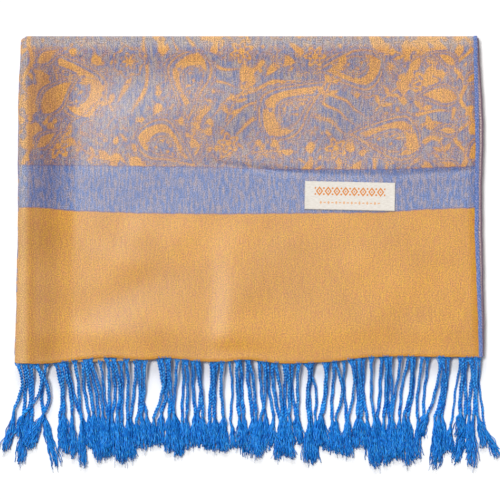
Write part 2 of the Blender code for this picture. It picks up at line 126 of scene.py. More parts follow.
# The main creases of the top layer, each along its own path, in the order they catch the eye.
LIFT = 0.75  # how high, in mm, the top layer lies over its flat place where there is no crease
LEAST_LIFT = 0.05  # and at least how high, in mm
PRESSED = 8 * MM  # how far the crest of a pressed fold is rounded
FOOT = 0.012  # and how softly its flanks run out, as a share of its rise
CREASES = [
    Crease(((-171, -120), (-170, -20), (-170, 60), (-170, 120)), 24, 28, 2.2, 0),
    Crease(((-169, -60), (-169, -20), (-169, 60), (-169, 120)), 24, 27, 2.2, 0, (0.3, 0.1)),
    Crease(((-168, 115), (-90, 114), (20, 113), (165, 115)), 12, 18, 2.1, 1.8, (0.12, 0.3)),
    Crease(((-134, 58), (-90, 62), (-30, 70), (30, 84)), 26, 34, 1.1, 1.8, (0.3, 0.35)),
    Crease(((-26, -10), (-30, -40), (-29, -80), (-32, -118)), 9, 16, -0.3, 1.8, (0.6, 0)),
    Crease(((-8, -16), (-12, -40), (-12, -80), (-15, -118)), 25, 14, 0.75, 1.9, (0.7, 0.1)),
    Crease(((-142, -92), (-110, -80), (-85, -69), (-58, -62), (-34, -50)), 14, 18, -0.4, 1.9, (0.2, 0.4)),
    Crease(((-124, -134), (-95, -122), (-50, -112)), 34, 9, 1.0, 2.0, (0.15, 0.5)),
    Crease(((-46, 29), (-12.6, 25), (25.5, 19.8), (74, 17.5), (114, 17.5), (170, 21.3)), 2.0, 1.6, -0.7, 1.4,
           (0.3, 0)),
    Crease(((-46, 33), (25, 25), (74, 22), (170, 26)), 10, 9, 0.35, 2.0, (0.4, 0)),
    Crease(((-141, 108), (-123, 106.3)), 1.2, 1.2, -0.5, 1.5, (0.3, 0.4)),
    Crease(((40, 86), (52, 62), (70, 36)), 18, 22, 0.25, 2.0, (0.3, 0.3)),
    Crease(((60, -40), (110, -52), (150, -70)), 20, 24, 0.22, 2.0, (0.3, 0.3)),
    Crease(((20, -90), (70, -94), (120, -96)), 18, 16, 0.2, 2.0, (0.3, 0.3)),
    Crease(((-100, -20), (-60, -34), (-36, -32)), 12, 14, 0.25, 2.0, (0.3, 0.4)),
    Crease(((-128, -36), (-90, -50), (-62, -47)), 9, 9, 0.2, 2.0, (0.3, 0.4)),
]


# ---------------------------------------------------------------- small helpers
def smooth(t: Array) -> Array:
    """0 below 0, 1 above 1, and a smooth step between: 3 t squared less 2 t cubed."""
    t = np.clip(t, 0.0, 1.0)
    return t * t * (3 - 2 * t)


def rising(at: Array, start: float, length: float) -> Array:
    """A smooth step from 0 to 1 that begins at a place in mm, and is so many mm long."""
    return smooth((at / MM - start) / length)


def edge(table: Sequence[Edge], at: Array | float) -> Array:
    """Reads an outline at a distance along it.

    Args:
        table: The outline's points, in millimetres.
        at: Distance along it, in metres.

    Returns:
        Its place across, in metres, straight between the points.
    """
    return np.interp(at, [row.along * MM for row in table], [row.across * MM for row in table])


def edge_softly(table: Sequence[Edge], at: Array | float) -> Array:
    """An outline with its corners rounded: the mean of five readings, 2.5 mm apart."""
    return np.mean([edge(table, np.asarray(at) + step * 2.5 * MM) for step in (-2, -1, 0, 1, 2)], axis=0)


def wander(at: Array, lengths: Sequence[float], phase: float) -> Array:
    """An uneven wave between about -1 and 1: the mean of sines of the given lengths, in metres."""
    waves = [np.sin(at / length * 2 * math.pi + phase * (n + 1) * 1.7) for n, length in enumerate(lengths)]
    return np.mean(waves, axis=0)


def path_offset(x: Array, y: Array, path: Sequence[tuple[float, float]]) -> tuple[Array, Array, Array]:
    """Distance to a path of straight runs, the side of it on which a place lies, and how far along.

    The nearest point of each run is the place's own projection, held between the run's ends.

    Args:
        x: Places, in metres.
        y: Places, in metres.
        path: The path's points, in millimetres.

    Returns:
        The distance in metres, +1 on the path's left side or -1 on its right, and the share of the
        path's length at which its nearest point lies.
    """
    nearest = np.full(np.broadcast(x, y).shape, np.inf)
    side, along = np.ones(nearest.shape), np.zeros(nearest.shape)
    start = 0.0
    for (x0, y0), (x1, y1) in zip(path[:-1], path[1:]):
        run_x, run_y = (x1 - x0) * MM, (y1 - y0) * MM
        from_x, from_y = x - x0 * MM, y - y0 * MM
        share = np.clip((from_x * run_x + from_y * run_y) / (run_x**2 + run_y**2), 0, 1)
        away = np.hypot(from_x - share * run_x, from_y - share * run_y)
        closer = away < nearest
        side = np.where(closer, np.sign(run_x * from_y - run_y * from_x), side)
        length = math.hypot(run_x, run_y)
        along = np.where(closer, start + share * length, along)
        nearest = np.minimum(nearest, away)
        start += length
    return nearest, side, along / start


def lift(x: Array, y: Array) -> Array:
    """The top layer's height over its flat place, faded out at its edges.

    Each crease adds rise x exp(-(distance / reach) to its power), with its own reach on each side, or
    where the power is 0, rise x (1 - distance / reach), with both of its bends rounded as a hyperbola.
    Near the lengthwise fold the height falls as a cube, so that the fold is full and round.

    Args:
        x: Places across, in metres.
        y: Places along.

    Returns:
        The height, in metres.
    """
    total = np.full(np.broadcast(x, y).shape, LIFT)
    for crease in CREASES:
        away, side, along = path_offset(x, y, crease.path)
        reach = np.where(side > 0, crease.left, crease.right) * MM
        fade_in = smooth(along / crease.fades[0]) if crease.fades[0] else 1.0
        fade_out = smooth((1 - along) / crease.fades[1]) if crease.fades[1] else 1.0
        slope = 1 - (np.sqrt(away**2 + PRESSED**2) - PRESSED) / reach
        straight = (slope + np.sqrt(slope**2 + FOOT)) / 2
        near = np.exp(-((away / reach) ** crease.power)) if crease.power else straight
        total = total + crease.rise * fade_in * fade_out * near
    ripple = wander(x + 0.3 * y, (0.083, 0.047), 0.4) * wander(y - 0.2 * x, (0.071, 0.039), 1.1)
    total = total + 0.10 * ripple
    from_fold = np.clip((x - edge(LEFT_FOLD, y)) / (3.6 * MM), 0, 1)
    sides = (1 - (1 - from_fold) ** 3) * smooth((edge(RIGHT_EDGE, y) - x) / (8 * MM))
    ends = (0.4 + 0.6 * smooth((y - edge(HEM, x)) / (24 * MM))) * smooth((TURN_AXIS_Y - y) / (12 * MM))
    return np.maximum(total, LEAST_LIFT) * sides * ends * MM


def corner(y: Array) -> Array:
    """How far the folded corners draw in near the crosswise fold: a parabola over the last 6 mm."""
    return CORNER_ROUND * np.clip((y - TOP_EDGE + CORNER_REACH) / CORNER_REACH, 0, 1) ** 2


def grid_faces(rows: int, columns: int, wrap: bool = False) -> Array:
    """Quads of a grid of points.

    Args:
        rows: Number of rows.
        columns: Number of points in a row.
        wrap: Whether each row closes on itself.

    Returns:
        Point numbers of each quad, one row each.
    """
    r = np.arange(rows - 1)[:, None]
    c = np.arange(columns if wrap else columns - 1)[None, :]
    after = (c + 1) % columns
    quads = np.stack(np.broadcast_arrays(r * columns + c, r * columns + after,
                                         (r + 1) * columns + after, (r + 1) * columns + c), axis=-1)
    return quads.reshape(-1, 4)


def add_piece(name: str, points: Array, faces: Sequence[Sequence[int]], material: Material) -> Piece:
    """A smooth-shaded mesh object at the origin.

    Args:
        name: Its name.
        points: Its points, in metres.
        faces: Point numbers of each face, turned outwards.
        material: Its only material.

    Returns:
        The object.
    """
    mesh = bpy.data.meshes.new(name)
    mesh.from_pydata(points.reshape(-1, 3), [], faces.tolist() if isinstance(faces, np.ndarray) else faces)
    mesh.shade_smooth()
    mesh.materials.append(material)
    piece = bpy.data.objects.new(name, mesh)
    bpy.context.collection.objects.link(piece)
    return piece


def write_uv(piece: Piece, name: str, across: Array, along: Array) -> None:
    """Gives each point a place on a named UV map, in metres of cloth.

    Args:
        piece: The piece.
        name: The map's name.
        across: Each point's place across.
        along: Its place along.
    """
    mesh = piece.data
    layer = mesh.uv_layers.new(name=name)
    corners = np.empty(len(mesh.loops), dtype=np.int32)
    mesh.loops.foreach_get("vertex_index", corners)
    places = np.column_stack([np.ravel(across), np.ravel(along)])[corners]
    layer.uv.foreach_set("vector", places.astype(np.float32).ravel())


def write_vector(piece: Piece, name: str, *parts: Array) -> None:
    """Stores three numbers for each point as a vector attribute.

    Args:
        piece: The piece.
        name: The attribute's name.
        parts: Its three numbers, each for all the points.
    """
    layer = piece.data.attributes.new(name, "FLOAT_VECTOR", "POINT")
    values = np.column_stack([np.ravel(part) for part in parts])
    layer.data.foreach_set("vector", values.astype(np.float32).ravel())


# ---------------------------------------------------------------- the paisley field
def turned(u: Array, v: Array, at: tuple[float, float], degrees: float) -> tuple[Array, Array]:
    """Places seen from a motif's own centre and turn: moved, then turned back by its angle.

    Args:
        u: Places across.
        v: Places along.
        at: The motif's centre.
        degrees: Its turn.

    Returns:
        The places across and along the motif.
    """
    angle = math.radians(degrees)
    x, y = u - at[0], v - at[1]
    return x * math.cos(angle) + y * math.sin(angle), -x * math.sin(angle) + y * math.cos(angle)


def band(distance: Array, start: float, stop: float) -> Array:
    """Positive where a distance lies between two values: the lesser of the ways to both."""
    return np.minimum(distance - start, stop - distance)


def petals(x: Array, y: Array, radius: float, count: int, depth: float) -> Array:
    """A flower's outline: its radius waves by depth, count times round, less the distance out."""
    return radius * (1 - depth + depth * np.cos(count * np.arctan2(y, x))) - np.hypot(x, y)


def leaf(x: Array, y: Array, length: float, width: float) -> Array:
    """A pointed leaf along y: its half width falls off as a parabola, less the distance across."""
    return width / 2 * (1 - np.clip(2 * y / length, -1.2, 1.2) ** 2) - np.abs(x)


def teardrop(x: Array, y: Array, length: float, width: float, curl: float) -> Array:
    """A bent teardrop, round end down.

    Below the centre it is half an ellipse. Above it narrows to a tip, and its middle line bends
    sideways with the square of the height.

    Args:
        x: Across, in millimetres.
        y: Along, in millimetres.
        length: Whole length.
        width: Greatest width.
        curl: How far the tip bends sideways, as a share of the length.

    Returns:
        About the distance inside its edge, in millimetres.
    """
    low, high = 0.36 * length, 0.64 * length
    up = np.clip(y / high, 0, 1.15)
    x = x - curl * length * up**2
    round_end = np.sqrt(np.clip(1 - (np.clip(y, -low, 0) / low) ** 2, 0, 1))
    half = width / 2 * np.where(y < 0, round_end, 1 - up**1.25)
    inside = (half - np.abs(x)) * 0.86
    return np.where(y < -low, np.minimum(inside, y + low), inside)


class Weave:
    """A figured field of cloth: how far each place lies inside the orange figure, in millimetres."""

    def __init__(self, u: Array, v: Array) -> None:
        """Starts with bare ground at the given places of the cloth, in millimetres."""
        self.u, self.v = u, v
        self.ink = np.full(u.shape, -3.0)

    def paint(self, region: Array, ink: Array) -> None:
        """Lays a motif over what is there: the region is cleared, and its ink put in."""
        self.ink = np.maximum(np.minimum(self.ink, -region), np.minimum(ink, region + 0.3))

    def arabesque(self, scale: float, fill: float, line: float) -> None:
        """Curling filler: two crossed waves, each bent by the other, above a threshold that drifts.

        Args:
            scale: Sets the size of its curls, in millimetres.
            fill: The threshold; a higher one leaves more ground bare.
            line: Half the width of the thin lines that run between, as a share of the scale.
        """
        u, v = self.u / scale, self.v / scale
        first = np.sin(u * 1.9 + 1.6 * np.sin(v * 1.13 + 0.7 * np.sin(u * 0.41)) + 0.31 * v)
        second = np.sin(v * 1.7 + 1.8 * np.sin(u * 1.21 + 1.3) - 0.27 * u)
        third = np.sin(0.83 * u - 0.91 * v + 1.9 * np.sin(0.63 * u + 0.57 * v))
        value = first * second + 0.55 * third
        drift = 0.30 * np.sin(self.u / 23 + 1.2 * np.sin(self.v / 19))
        drift = drift + 0.2 * np.sin(self.v / 13 - self.u / 31)
        self.ink = np.maximum(self.ink, (value - fill - drift) * scale * 0.55)
        self.ink = np.maximum(self.ink, (line - np.abs(value + 0.42)) * scale * 0.5)

    def paisley(self, at: tuple[float, float], length: float, turn: float, curl: float) -> None:
        """A teardrop with an edge line, a thick crescent inside it, and a flower at its heart.

        Args:
            at: Its centre, in millimetres.
            length: Its length.
            turn: Its turn, in degrees.
            curl: How far its tip bends, as a share of the length.
        """
        x, y = turned(self.u, self.v, at, turn)
        x = x + 0.018 * length * np.sin(y / length * 9 + at[0])
        body = teardrop(x, y, length, 0.66 * length, curl)
        side = math.copysign(1.0, curl)
        heart = teardrop(x - side * 0.09 * length, y - 0.05 * length, 0.60 * length, 0.36 * length, curl)
        ink = np.maximum(band(body, 0.0, 1.8), np.minimum(body - 3.8, -heart - 0.9))
        ink = np.maximum(ink, band(heart, 0.9, 2.1))
        curls = np.sin(0.75 * x + 1.7 * np.sin(0.6 * y + at[0])) * np.sin(0.7 * y + 1.4 * np.sin(0.5 * x))
        ink = np.maximum(ink, np.minimum((curls - 0.12) * 1.6, heart - 2.6))
        scallop = body + 3.4 + 1.3 * np.cos(0.62 * (x + y)) * np.cos(0.62 * (x - y))
        self.paint(scallop, np.maximum(ink, np.minimum(band(body, -3.0, -1.6), scallop - 1.0)))

    def flower(self, at: tuple[float, float], radius: float, count: int, turn: float) -> None:
        """An open flower: petals, a bare ring, and a round centre.

        Args:
            at: Its centre, in millimetres.
            radius: Its radius.
            count: How many petals.
            turn: Its turn, in degrees.
        """
        x, y = turned(self.u, self.v, at, turn)
        outer = petals(x, y, radius, count, 0.22)
        out = np.hypot(x, y)
        ink = np.maximum(band(outer, 0, 0.34 * radius), 0.3 * radius - out)
        ink = np.maximum(ink, band(out, 0.42 * radius, 0.5 * radius))
        self.paint(outer + 1.2, ink)

    def sprig(self, at: tuple[float, float], length: float, turn: float, pairs: int, bend: float) -> None:
        """A bent stem with pairs of leaves and a leaf at its end.

        The stem's middle line bends sideways with the square of the way along it.

        Args:
            at: Its foot, in millimetres.
            length: Its length.
            turn: Its turn, in degrees.
            pairs: How many pairs of leaves.
            bend: How far its end bends, as a share of the length.
        """
        x, y = turned(self.u, self.v, at, turn)
        x = x - bend * np.clip(y / length, 0, 1) ** 2 * length
        ink = np.minimum(0.95 - np.abs(x), band(y, 0, length))
        for n in range(pairs):
            share = (n + 0.6) / (pairs + 0.3)
            size = length * 0.34 * (1 - 0.45 * share)
            for side in (-1, 1):
                lx, ly = turned(x, y, (0, share * length), -side * 52)
                ink = np.maximum(ink, leaf(lx, ly - size / 2, size, 0.42 * size))
        ink = np.maximum(ink, leaf(x, y - length, 0.42 * length, 0.2 * length))
        self.ink = np.maximum(self.ink, ink)

    def sweep(self, at: tuple[float, float], radii: tuple[float, float], angles: tuple[float, float],
              lines: int, weight: float) -> None:
        """Nested arcs about one centre, a little wavy, tapering to both ends, on a cleared band.

        Args:
            at: Their centre.
            radii: The innermost and outermost radius.
            angles: Where they start and stop, in degrees.
            lines: How many.
            weight: The width of a line, in millimetres.
        """
        x, y = self.u - at[0], self.v - at[1]
        out = np.hypot(x, y) + 1.3 * np.sin(x / 9 + y / 7) + 0.7 * np.sin(x / 3.7 - y / 4.9)
        middle = math.radians(sum(angles) / 2)
        spread = math.radians(abs(angles[1] - angles[0]) / 2)
        way = np.abs((np.arctan2(y, x) - middle + math.pi) % (2 * math.pi) - math.pi)
        ends = (spread - way) * out
        taper = np.clip(ends / (0.5 * spread * out + 1e-6), 0, 1) ** 0.5
        pitch = (radii[1] - radii[0]) / max(1, lines - 1)
        off = np.abs((out - radii[0] + pitch / 2) % pitch - pitch / 2)
        inside = band(out, radii[0] - pitch / 2, radii[1] + pitch / 2)
        ink = np.minimum(np.minimum(weight / 2 * taper - off, inside), ends)
        self.paint(np.minimum(inside, ends), ink)

    def vine(self, middle: float, sway: float, pitch: float, low: float, high: float) -> None:
        """A swaying upright stem with big leaves on alternate sides.

        Args:
            middle: How far across it stands, in millimetres.
            sway: How far it sways.
            pitch: The length of one sway.
            low: Where it starts.
            high: Where it stops.
        """

        def stem(at: Array | float) -> Array | float:
            """How far across the stem runs at a height: the sum of two waves of unlike length."""
            along = at / pitch
            return middle + sway * (np.sin(along * 2 * math.pi) + 0.8 * np.sin(along * 3.3 + middle))

        line = np.minimum(1.9 - np.abs(self.u - stem(self.v)), band(self.v, low, high))
        self.ink = np.maximum(self.ink, line)
        step = pitch / 2
        for n in range(int((high - low) / step)):
            v = low + (n + 0.5) * step
            side = 1 if n % 2 else -1
            size = pitch * (0.95 + 0.3 * math.sin(2.1 * n + middle))
            lean = 58 + 25 * math.sin(3.7 * n)
            x, y = turned(self.u, self.v, (stem(v) + side * 0.42 * size, v), -side * lean)
            blade = teardrop(x, y, size, 0.54 * size, 0.22 * side)
            self.paint(blade + 0.9, np.maximum(band(blade, 0, 1.3), blade - 2.4))

    def medallion(self, at: tuple[float, float], radius: float, count: int) -> None:
        """Rings of lobes round a flower, with beads between them.

        Args:
            at: Its centre, in millimetres.
            radius: Its radius.
            count: How many lobes.
        """
        x, y = self.u - at[0], self.v - at[1]
        out, way = np.hypot(x, y), np.arctan2(y, x)
        lobes = petals(x, y, radius, count, 0.10)
        ink = np.maximum(band(lobes, 0, 1.4), band(lobes, 0.42 * radius, 0.42 * radius + 1.5))
        between = (way * count / (2 * math.pi)) % 1 - 0.5
        beads = 0.09 * radius - np.hypot(out - 0.78 * radius, out * between * 0.7)
        ink = np.maximum(ink, beads)
        ink = np.maximum(ink, petals(x, y, 0.4 * radius, 6, 0.3))
        self.paint(lobes + 1.3, ink)


# ---------------------------------------------------------------- finishes
def linear(colour: str) -> tuple[float, float, float, float]:
    """An sRGB hex colour such as "#1d6dbf" as linear light, with alpha 1."""
    parts = [int(colour[n:n + 2], 16) / 255 for n in (1, 3, 5)]
    return (*[part / 12.92 if part <= 0.04045 else ((part + 0.055) / 1.055) ** 2.4 for part in parts], 1.0)


class Node(Enum):
    """The shader nodes in use.

    Each is Blender's type, the inputs that are fed in turn, the output that is read, and the settings
    that never change.
    """

    UV_MAP = ("ShaderNodeUVMap", (), 0, {})
    ATTRIBUTE = ("ShaderNodeAttribute", (), 1, {})
    SPLIT = ("ShaderNodeSeparateXYZ", (0,), 0, {})
    SCALE = ("ShaderNodeVectorMath", (0, "Scale"), 0, {"operation": "SCALE"})
    MAPPING = ("ShaderNodeMapping", (0, "Location", "Scale"), 0, {})
    NOISE = ("ShaderNodeTexNoise", ("Vector", "Scale", "Detail", "Roughness"), 0, {"noise_dimensions": "2D"})
    ADD = ("ShaderNodeMath", (0, 1), 0, {"operation": "ADD"})
    SUBTRACT = ("ShaderNodeMath", (0, 1), 0, {"operation": "SUBTRACT"})
    MULTIPLY = ("ShaderNodeMath", (0, 1), 0, {"operation": "MULTIPLY"})
    MAXIMUM = ("ShaderNodeMath", (0, 1), 0, {"operation": "MAXIMUM"})
    SINE = ("ShaderNodeMath", (0,), 0, {"operation": "SINE"})
    ABSOLUTE = ("ShaderNodeMath", (0,), 0, {"operation": "ABSOLUTE"})
    STEP = ("ShaderNodeMapRange", (0, 1, 2, 3, 4), 0, {"interpolation_type": "SMOOTHSTEP"})
    RAMP = ("ShaderNodeValToRGB", (0,), 0, {})
    MIX = ("ShaderNodeMix", (0, 6, 7), 2, {"data_type": "RGBA"})
    TINT = ("ShaderNodeMix", (0, 6, 7), 2, {"data_type": "RGBA", "blend_type": "MULTIPLY"})
    BUMP = ("ShaderNodeBump", ("Height", "Distance", "Strength"), 0, {})


class Finish:
    """A material under construction: a principled shader, and what feeds it."""

    def __init__(self, name: str, roughness: float, specular: float, sheen: float = 0.0,
                 sheen_tint: str = "#ffffff") -> None:
        """Makes a node material with the shader's plain values set on its own sockets.

        Args:
            name: The material's name.
            roughness: Its roughness.
            specular: Its specular level.
            sheen: The weight of its sheen.
            sheen_tint: The sheen's colour, as hex.
        """
        self.material = bpy.data.materials.new(name)
        self.material.use_nodes = True
        self.tree = self.material.node_tree
        self.shader = self.tree.nodes["Principled BSDF"]
        plain = {"Roughness": roughness, "Specular IOR Level": specular, "IOR": FIBRE_IOR,
                 "Sheen Weight": sheen, "Sheen Roughness": SHEEN_ROUGHNESS, "Sheen Tint": linear(sheen_tint)}
        for socket, value in plain.items():
            self.shader.inputs[socket].default_value = value

    def add(self, kind: Node, *values: Any, stops: Iterable[tuple[float, str]] = (),
            **settings: Any) -> Socket:
        """Adds a shader node with its settings and links.

        Args:
            kind: Which node.
            values: What feeds each of its inputs in turn: a socket, a plain value, or a hex colour.
            stops: A ramp's places and hex colours.
            settings: The node's own settings.

        Returns:
            The output that is read.
        """
        blender_type, inputs, output, fixed = kind.value
        node = self.tree.nodes.new(blender_type)
        for name, value in {**fixed, **settings}.items():
            setattr(node, name, value)
        for key, value in zip(inputs, values):
            if isinstance(value, Socket):
                self.tree.links.new(value, node.inputs[key])
            else:
                node.inputs[key].default_value = linear(value) if isinstance(value, str) else value
        if stops := list(stops):
            marks = node.color_ramp.elements
            while len(marks) < len(stops):
                marks.new(0.5)
            for mark, (place, colour) in zip(marks, stops):
                mark.position = place
                mark.color = linear(colour)
        return node.outputs[output]

    def place(self, uv_map: str) -> Socket:
        """The piece's own place on its cloth, in millimetres."""
        return self.add(Node.SCALE, self.add(Node.UV_MAP, uv_map=uv_map), 1 / MM)

    def parts(self, name: str) -> Iterable[Socket]:
        """The three numbers of a vector attribute."""
        return self.add(Node.SPLIT, self.add(Node.ATTRIBUTE, attribute_name=name)).node.outputs

    def noise(self, place: Socket, across: float, along: float, detail: float = 1.0,
              shift: float = 0.0) -> Socket:
        """Noise about 0 to 1 whose grains are so many millimetres across and along."""
        moved = self.add(Node.MAPPING, place, (shift, shift * 0.7, 0), (1 / across, 1 / along, 1))
        return self.add(Node.NOISE, moved, 1.0, detail, 0.6)

    def total(self, *shares: tuple[Socket, float]) -> Socket:
        """The sum of several values, each times its share.

        Args:
            shares: Each value and its share.

        Returns:
            The sum.
        """
        total: Any = 0.0
        for value, share in shares:
            total = self.add(Node.ADD, total, self.add(Node.MULTIPLY, value, share))
        return total

    def frayed(self, value: Any, noise: Socket, width: Any) -> Socket:
        """A value broken up by noise: it moves by up to half the width either way."""
        return self.add(Node.ADD, value, self.add(Node.MULTIPLY, self.add(Node.SUBTRACT, noise, 0.5), width))

    def done(self, colour: Socket, height: Socket, depth: float,
             roughness: Socket | None = None) -> Material:
        """Feeds the shader.

        Args:
            colour: Its colour.
            height: A relief from 0 to 1.
            depth: How deep that relief is, in metres.
            roughness: Its roughness, where that varies.

        Returns:
            The finished material.
        """
        self.tree.links.new(colour, self.shader.inputs["Base Color"])
        self.tree.links.new(self.add(Node.BUMP, height, depth, 1.0), self.shader.inputs["Normal"])
        if roughness is not None:
            self.tree.links.new(roughness, self.shader.inputs["Roughness"])
        return self.material


@dataclass(frozen=True)
class JacquardSilk:
    """Silk and fine wool, jacquard woven: blue warp, orange weft, a soft satin gloss.

    The single threads, 0.15 mm apart, are finer than a pixel, so flecks and warp streaks are drawn
    about 0.8 mm wide, where they just show.
    """

    name: str = "silk_jacquard_woven"
    fleck: float = 0.85  # mm, one visible grain of the weave
    streak: float = 14.0  # mm, how long a warp streak runs
    contrast: float = 2.6  # how much lighter a raised thread is than a gap
    orange: tuple[str, str] = ("#ce8745", "#d69f28")
    figure: tuple[str, str] = ("#cc8c44", "#dc9e44")
    ground: tuple[str, str, str] = ("#66729e", "#888498", "#a0928e")
    stripe: tuple[str, str, str] = ("#6078b0", "#7c84aa", "#988e9c")
    seam: str = "#5b5688"  # where orange floats end, and the warp shows darker
    painted_highlight_tint: str = "#f4ebcc"  # painted highlight along the crests of the folds
    painted_shade_tint: str = "#dcd6de"  # painted shade where a pressed fold turns its gloss away
    broad: tuple[str, str] = ("#f2f0f4", "#ffffff")  # slow drift of tone over the whole cloth

    def make(self) -> Material:
        """Builds the material, from the UV map "cloth" and the attributes "pattern" and "pressed".

        Returns:
            The material.
        """
        finish = Finish(self.name, roughness=0.35, specular=0.6)
        add, place = finish.add, finish.place("cloth")
        figure, above, below = finish.parts("pattern")
        # pressed holds the pressed fold's painted shade, the crests' roughness, and their painted highlight.
        pressed, rubbed, painted_highlight = finish.parts("pressed")
        roughness = add(Node.ADD, 0.35, add(Node.MULTIPLY, rubbed, 0.3))
        fleck = finish.noise(place, self.fleck, self.fleck, 1.5)
        fine = finish.noise(place, self.fleck * 0.75, self.fleck * 0.8, 0.0, 31.0)
        warp = finish.noise(place, self.fleck, self.streak, 1.0, 7.0)
        wide_warp = finish.noise(place, self.fleck * 1.7, self.streak * 0.8, 1.0, 19.0)
        blot = finish.noise(place, 3.2, 5.0, 1.0, 43.0)
        patch = finish.noise(place, 16.0, 13.0, 1.0, 3.0)
        broad = finish.noise(place, 60.0, 40.0, 1.0, 13.0)
        hue = finish.total((wide_warp, 0.45), (blot, 0.35), (warp, 0.20))

        # The figure's edge is broken thread by thread, and more so where the field is half-toned.
        moved = finish.frayed(figure, fine, add(Node.STEP, patch, 0.54, 0.70, 1.3, 5.3))
        inked = finish.total((add(Node.STEP, moved, -0.75, 0.75), 0.88), (blot, 0.12))
        ground = add(Node.RAMP, hue, stops=zip((0.40, 0.50, 0.60), self.ground))
        weft = add(Node.RAMP, hue, stops=zip((0.38, 0.62), self.figure))
        outline = add(Node.STEP, add(Node.ABSOLUTE, moved), 0.1, 0.75, 0.32, 0.0)
        field = add(Node.MIX, outline, add(Node.MIX, inked, ground, weft), self.seam)

        # The three zones of the cloth, with a darker line of warp where two of them meet.
        stripe = add(Node.RAMP, hue, stops=zip((0.40, 0.50, 0.60), self.stripe))
        tint = finish.total((hue, 0.45), (fleck, 0.55))
        plain = add(Node.RAMP, tint, stops=zip((0.38, 0.62), self.orange))
        sides = (above, below)
        far_side, near_side = [add(Node.STEP, finish.frayed(side, fine, 0.9), -0.3, 0.3) for side in sides]
        colour = add(Node.MIX, near_side, add(Node.MIX, far_side, stripe, field), plain)
        lines = [add(Node.STEP, add(Node.ABSOLUTE, side), 0.3, 0.9, 0.45, 0.0) for side in sides]
        colour = add(Node.MIX, add(Node.MAXIMUM, *lines), colour, self.seam)

        # The light's slow drift, painted shade on the pressed fold's flank, and a painted highlight on the
        # folds' crests.
        colour = add(Node.TINT, 1.0, colour, add(Node.RAMP, broad, stops=zip((0.3, 0.7), self.broad)))
        colour = add(Node.MIX, pressed, colour, add(Node.TINT, 1.0, colour, self.painted_shade_tint))
        # Painted highlight along the crests of both folds.
        colour = add(Node.MIX, add(Node.MULTIPLY, painted_highlight, 0.16), colour, self.painted_highlight_tint)

        # Each raised thread is a little lighter than the gaps beside it, less so in the plain orange.
        knot = finish.noise(place, self.fleck, self.fleck, 0.0, 57.0)
        grain = finish.total((fleck, 0.35), (warp, 0.15), (knot, 0.50))
        contrast = add(Node.SUBTRACT, self.contrast, add(Node.MULTIPLY, near_side, 0.4 * self.contrast))
        colour = add(Node.TINT, 1.0, colour, finish.frayed(1.0, grain, contrast))
        return finish.done(colour, finish.total((fleck, 0.6), (warp, 0.4)), 0.1 * MM, roughness)


@dataclass(frozen=True)
class SelvedgeYarn:
    """Mercerised yarn oversewn along a woven edge: close slanted stitches with dark gaps."""

    name: str
    yarn: tuple[str, str, str]
    gap: str
    rim: str  # its outer side: the cut ends between the stitches; on the under selvedge, painted shade
    rim_start: float  # mm from its outer side

    def make(self) -> Material:
        """Builds the material, which reads the UV map "cloth": across from its outer side, and along.

        Returns:
            The material.
        """
        finish = Finish(self.name, roughness=0.6, specular=0.35, sheen=0.2, sheen_tint="#dfe8ff")
        add, place = finish.add, finish.place("cloth")
        across, along, _ = add(Node.SPLIT, place).node.outputs
        uneven = finish.total((across, STITCH_SLANT), (finish.noise(place, 6.0, 3.1), 1.6))
        turns = add(Node.MULTIPLY, add(Node.ADD, along, uneven), 2 * math.pi / STITCH_PITCH)
        wave = add(Node.SINE, turns)
        fleck = finish.noise(place, 0.8, 1.3, 1.0, 5.0)
        yarn = add(Node.RAMP, fleck, stops=zip((0.36, 0.5, 0.64), self.yarn))
        colour = add(Node.MIX, add(Node.STEP, wave, -0.8, 0.1, 0.6, 0.0), yarn, self.gap)
        moved = add(Node.ADD, across, finish.total((wave, 0.3), (fleck, 1.2)))
        rim = add(Node.STEP, moved, 0.6 - self.rim_start, 1.3 - self.rim_start, 0.0, 0.85)
        return finish.done(add(Node.MIX, rim, colour, self.rim), wave, 0.12 * MM)


@dataclass(frozen=True)
class LabelSatin:
    """White polyester satin, woven: fine ribs across, a matt face, ornament in orange thread."""

    name: str = "polyester_label_woven"
    white: tuple[str, str] = ("#ddd6cc", "#ece6dd")
    thread: str = "#dc8a3c"
    pale_thread: str = "#e6b184"
    rim_shade: str = "#8d8078"  # the cut rim's shadow

    def make(self) -> Material:
        """Builds the material: "pattern" holds the bold and the pale ornament, and the way to the rim.

        Returns:
            The material.
        """
        finish = Finish(self.name, roughness=0.62, specular=0.4, sheen=0.15)
        add, place = finish.add, finish.place("cloth")
        bold, pale, from_rim = finish.parts("pattern")
        rib = finish.noise(place, 3.0, 0.45)
        fine = finish.noise(place, 0.5, 0.5, 1.0, 9.0)
        colour = add(Node.RAMP, rib, stops=zip((0.35, 0.65), self.white))
        for ornament, thread in ((bold, self.thread), (pale, self.pale_thread)):
            sewn = add(Node.STEP, finish.frayed(ornament, fine, 0.35), -0.12, 0.15)
            colour = add(Node.MIX, sewn, colour, thread)
        colour = add(Node.MIX, add(Node.STEP, from_rim, 0.1, 0.7, 0.16, 0.0), colour, self.rim_shade)
        return finish.done(colour, rib, 0.08 * MM)


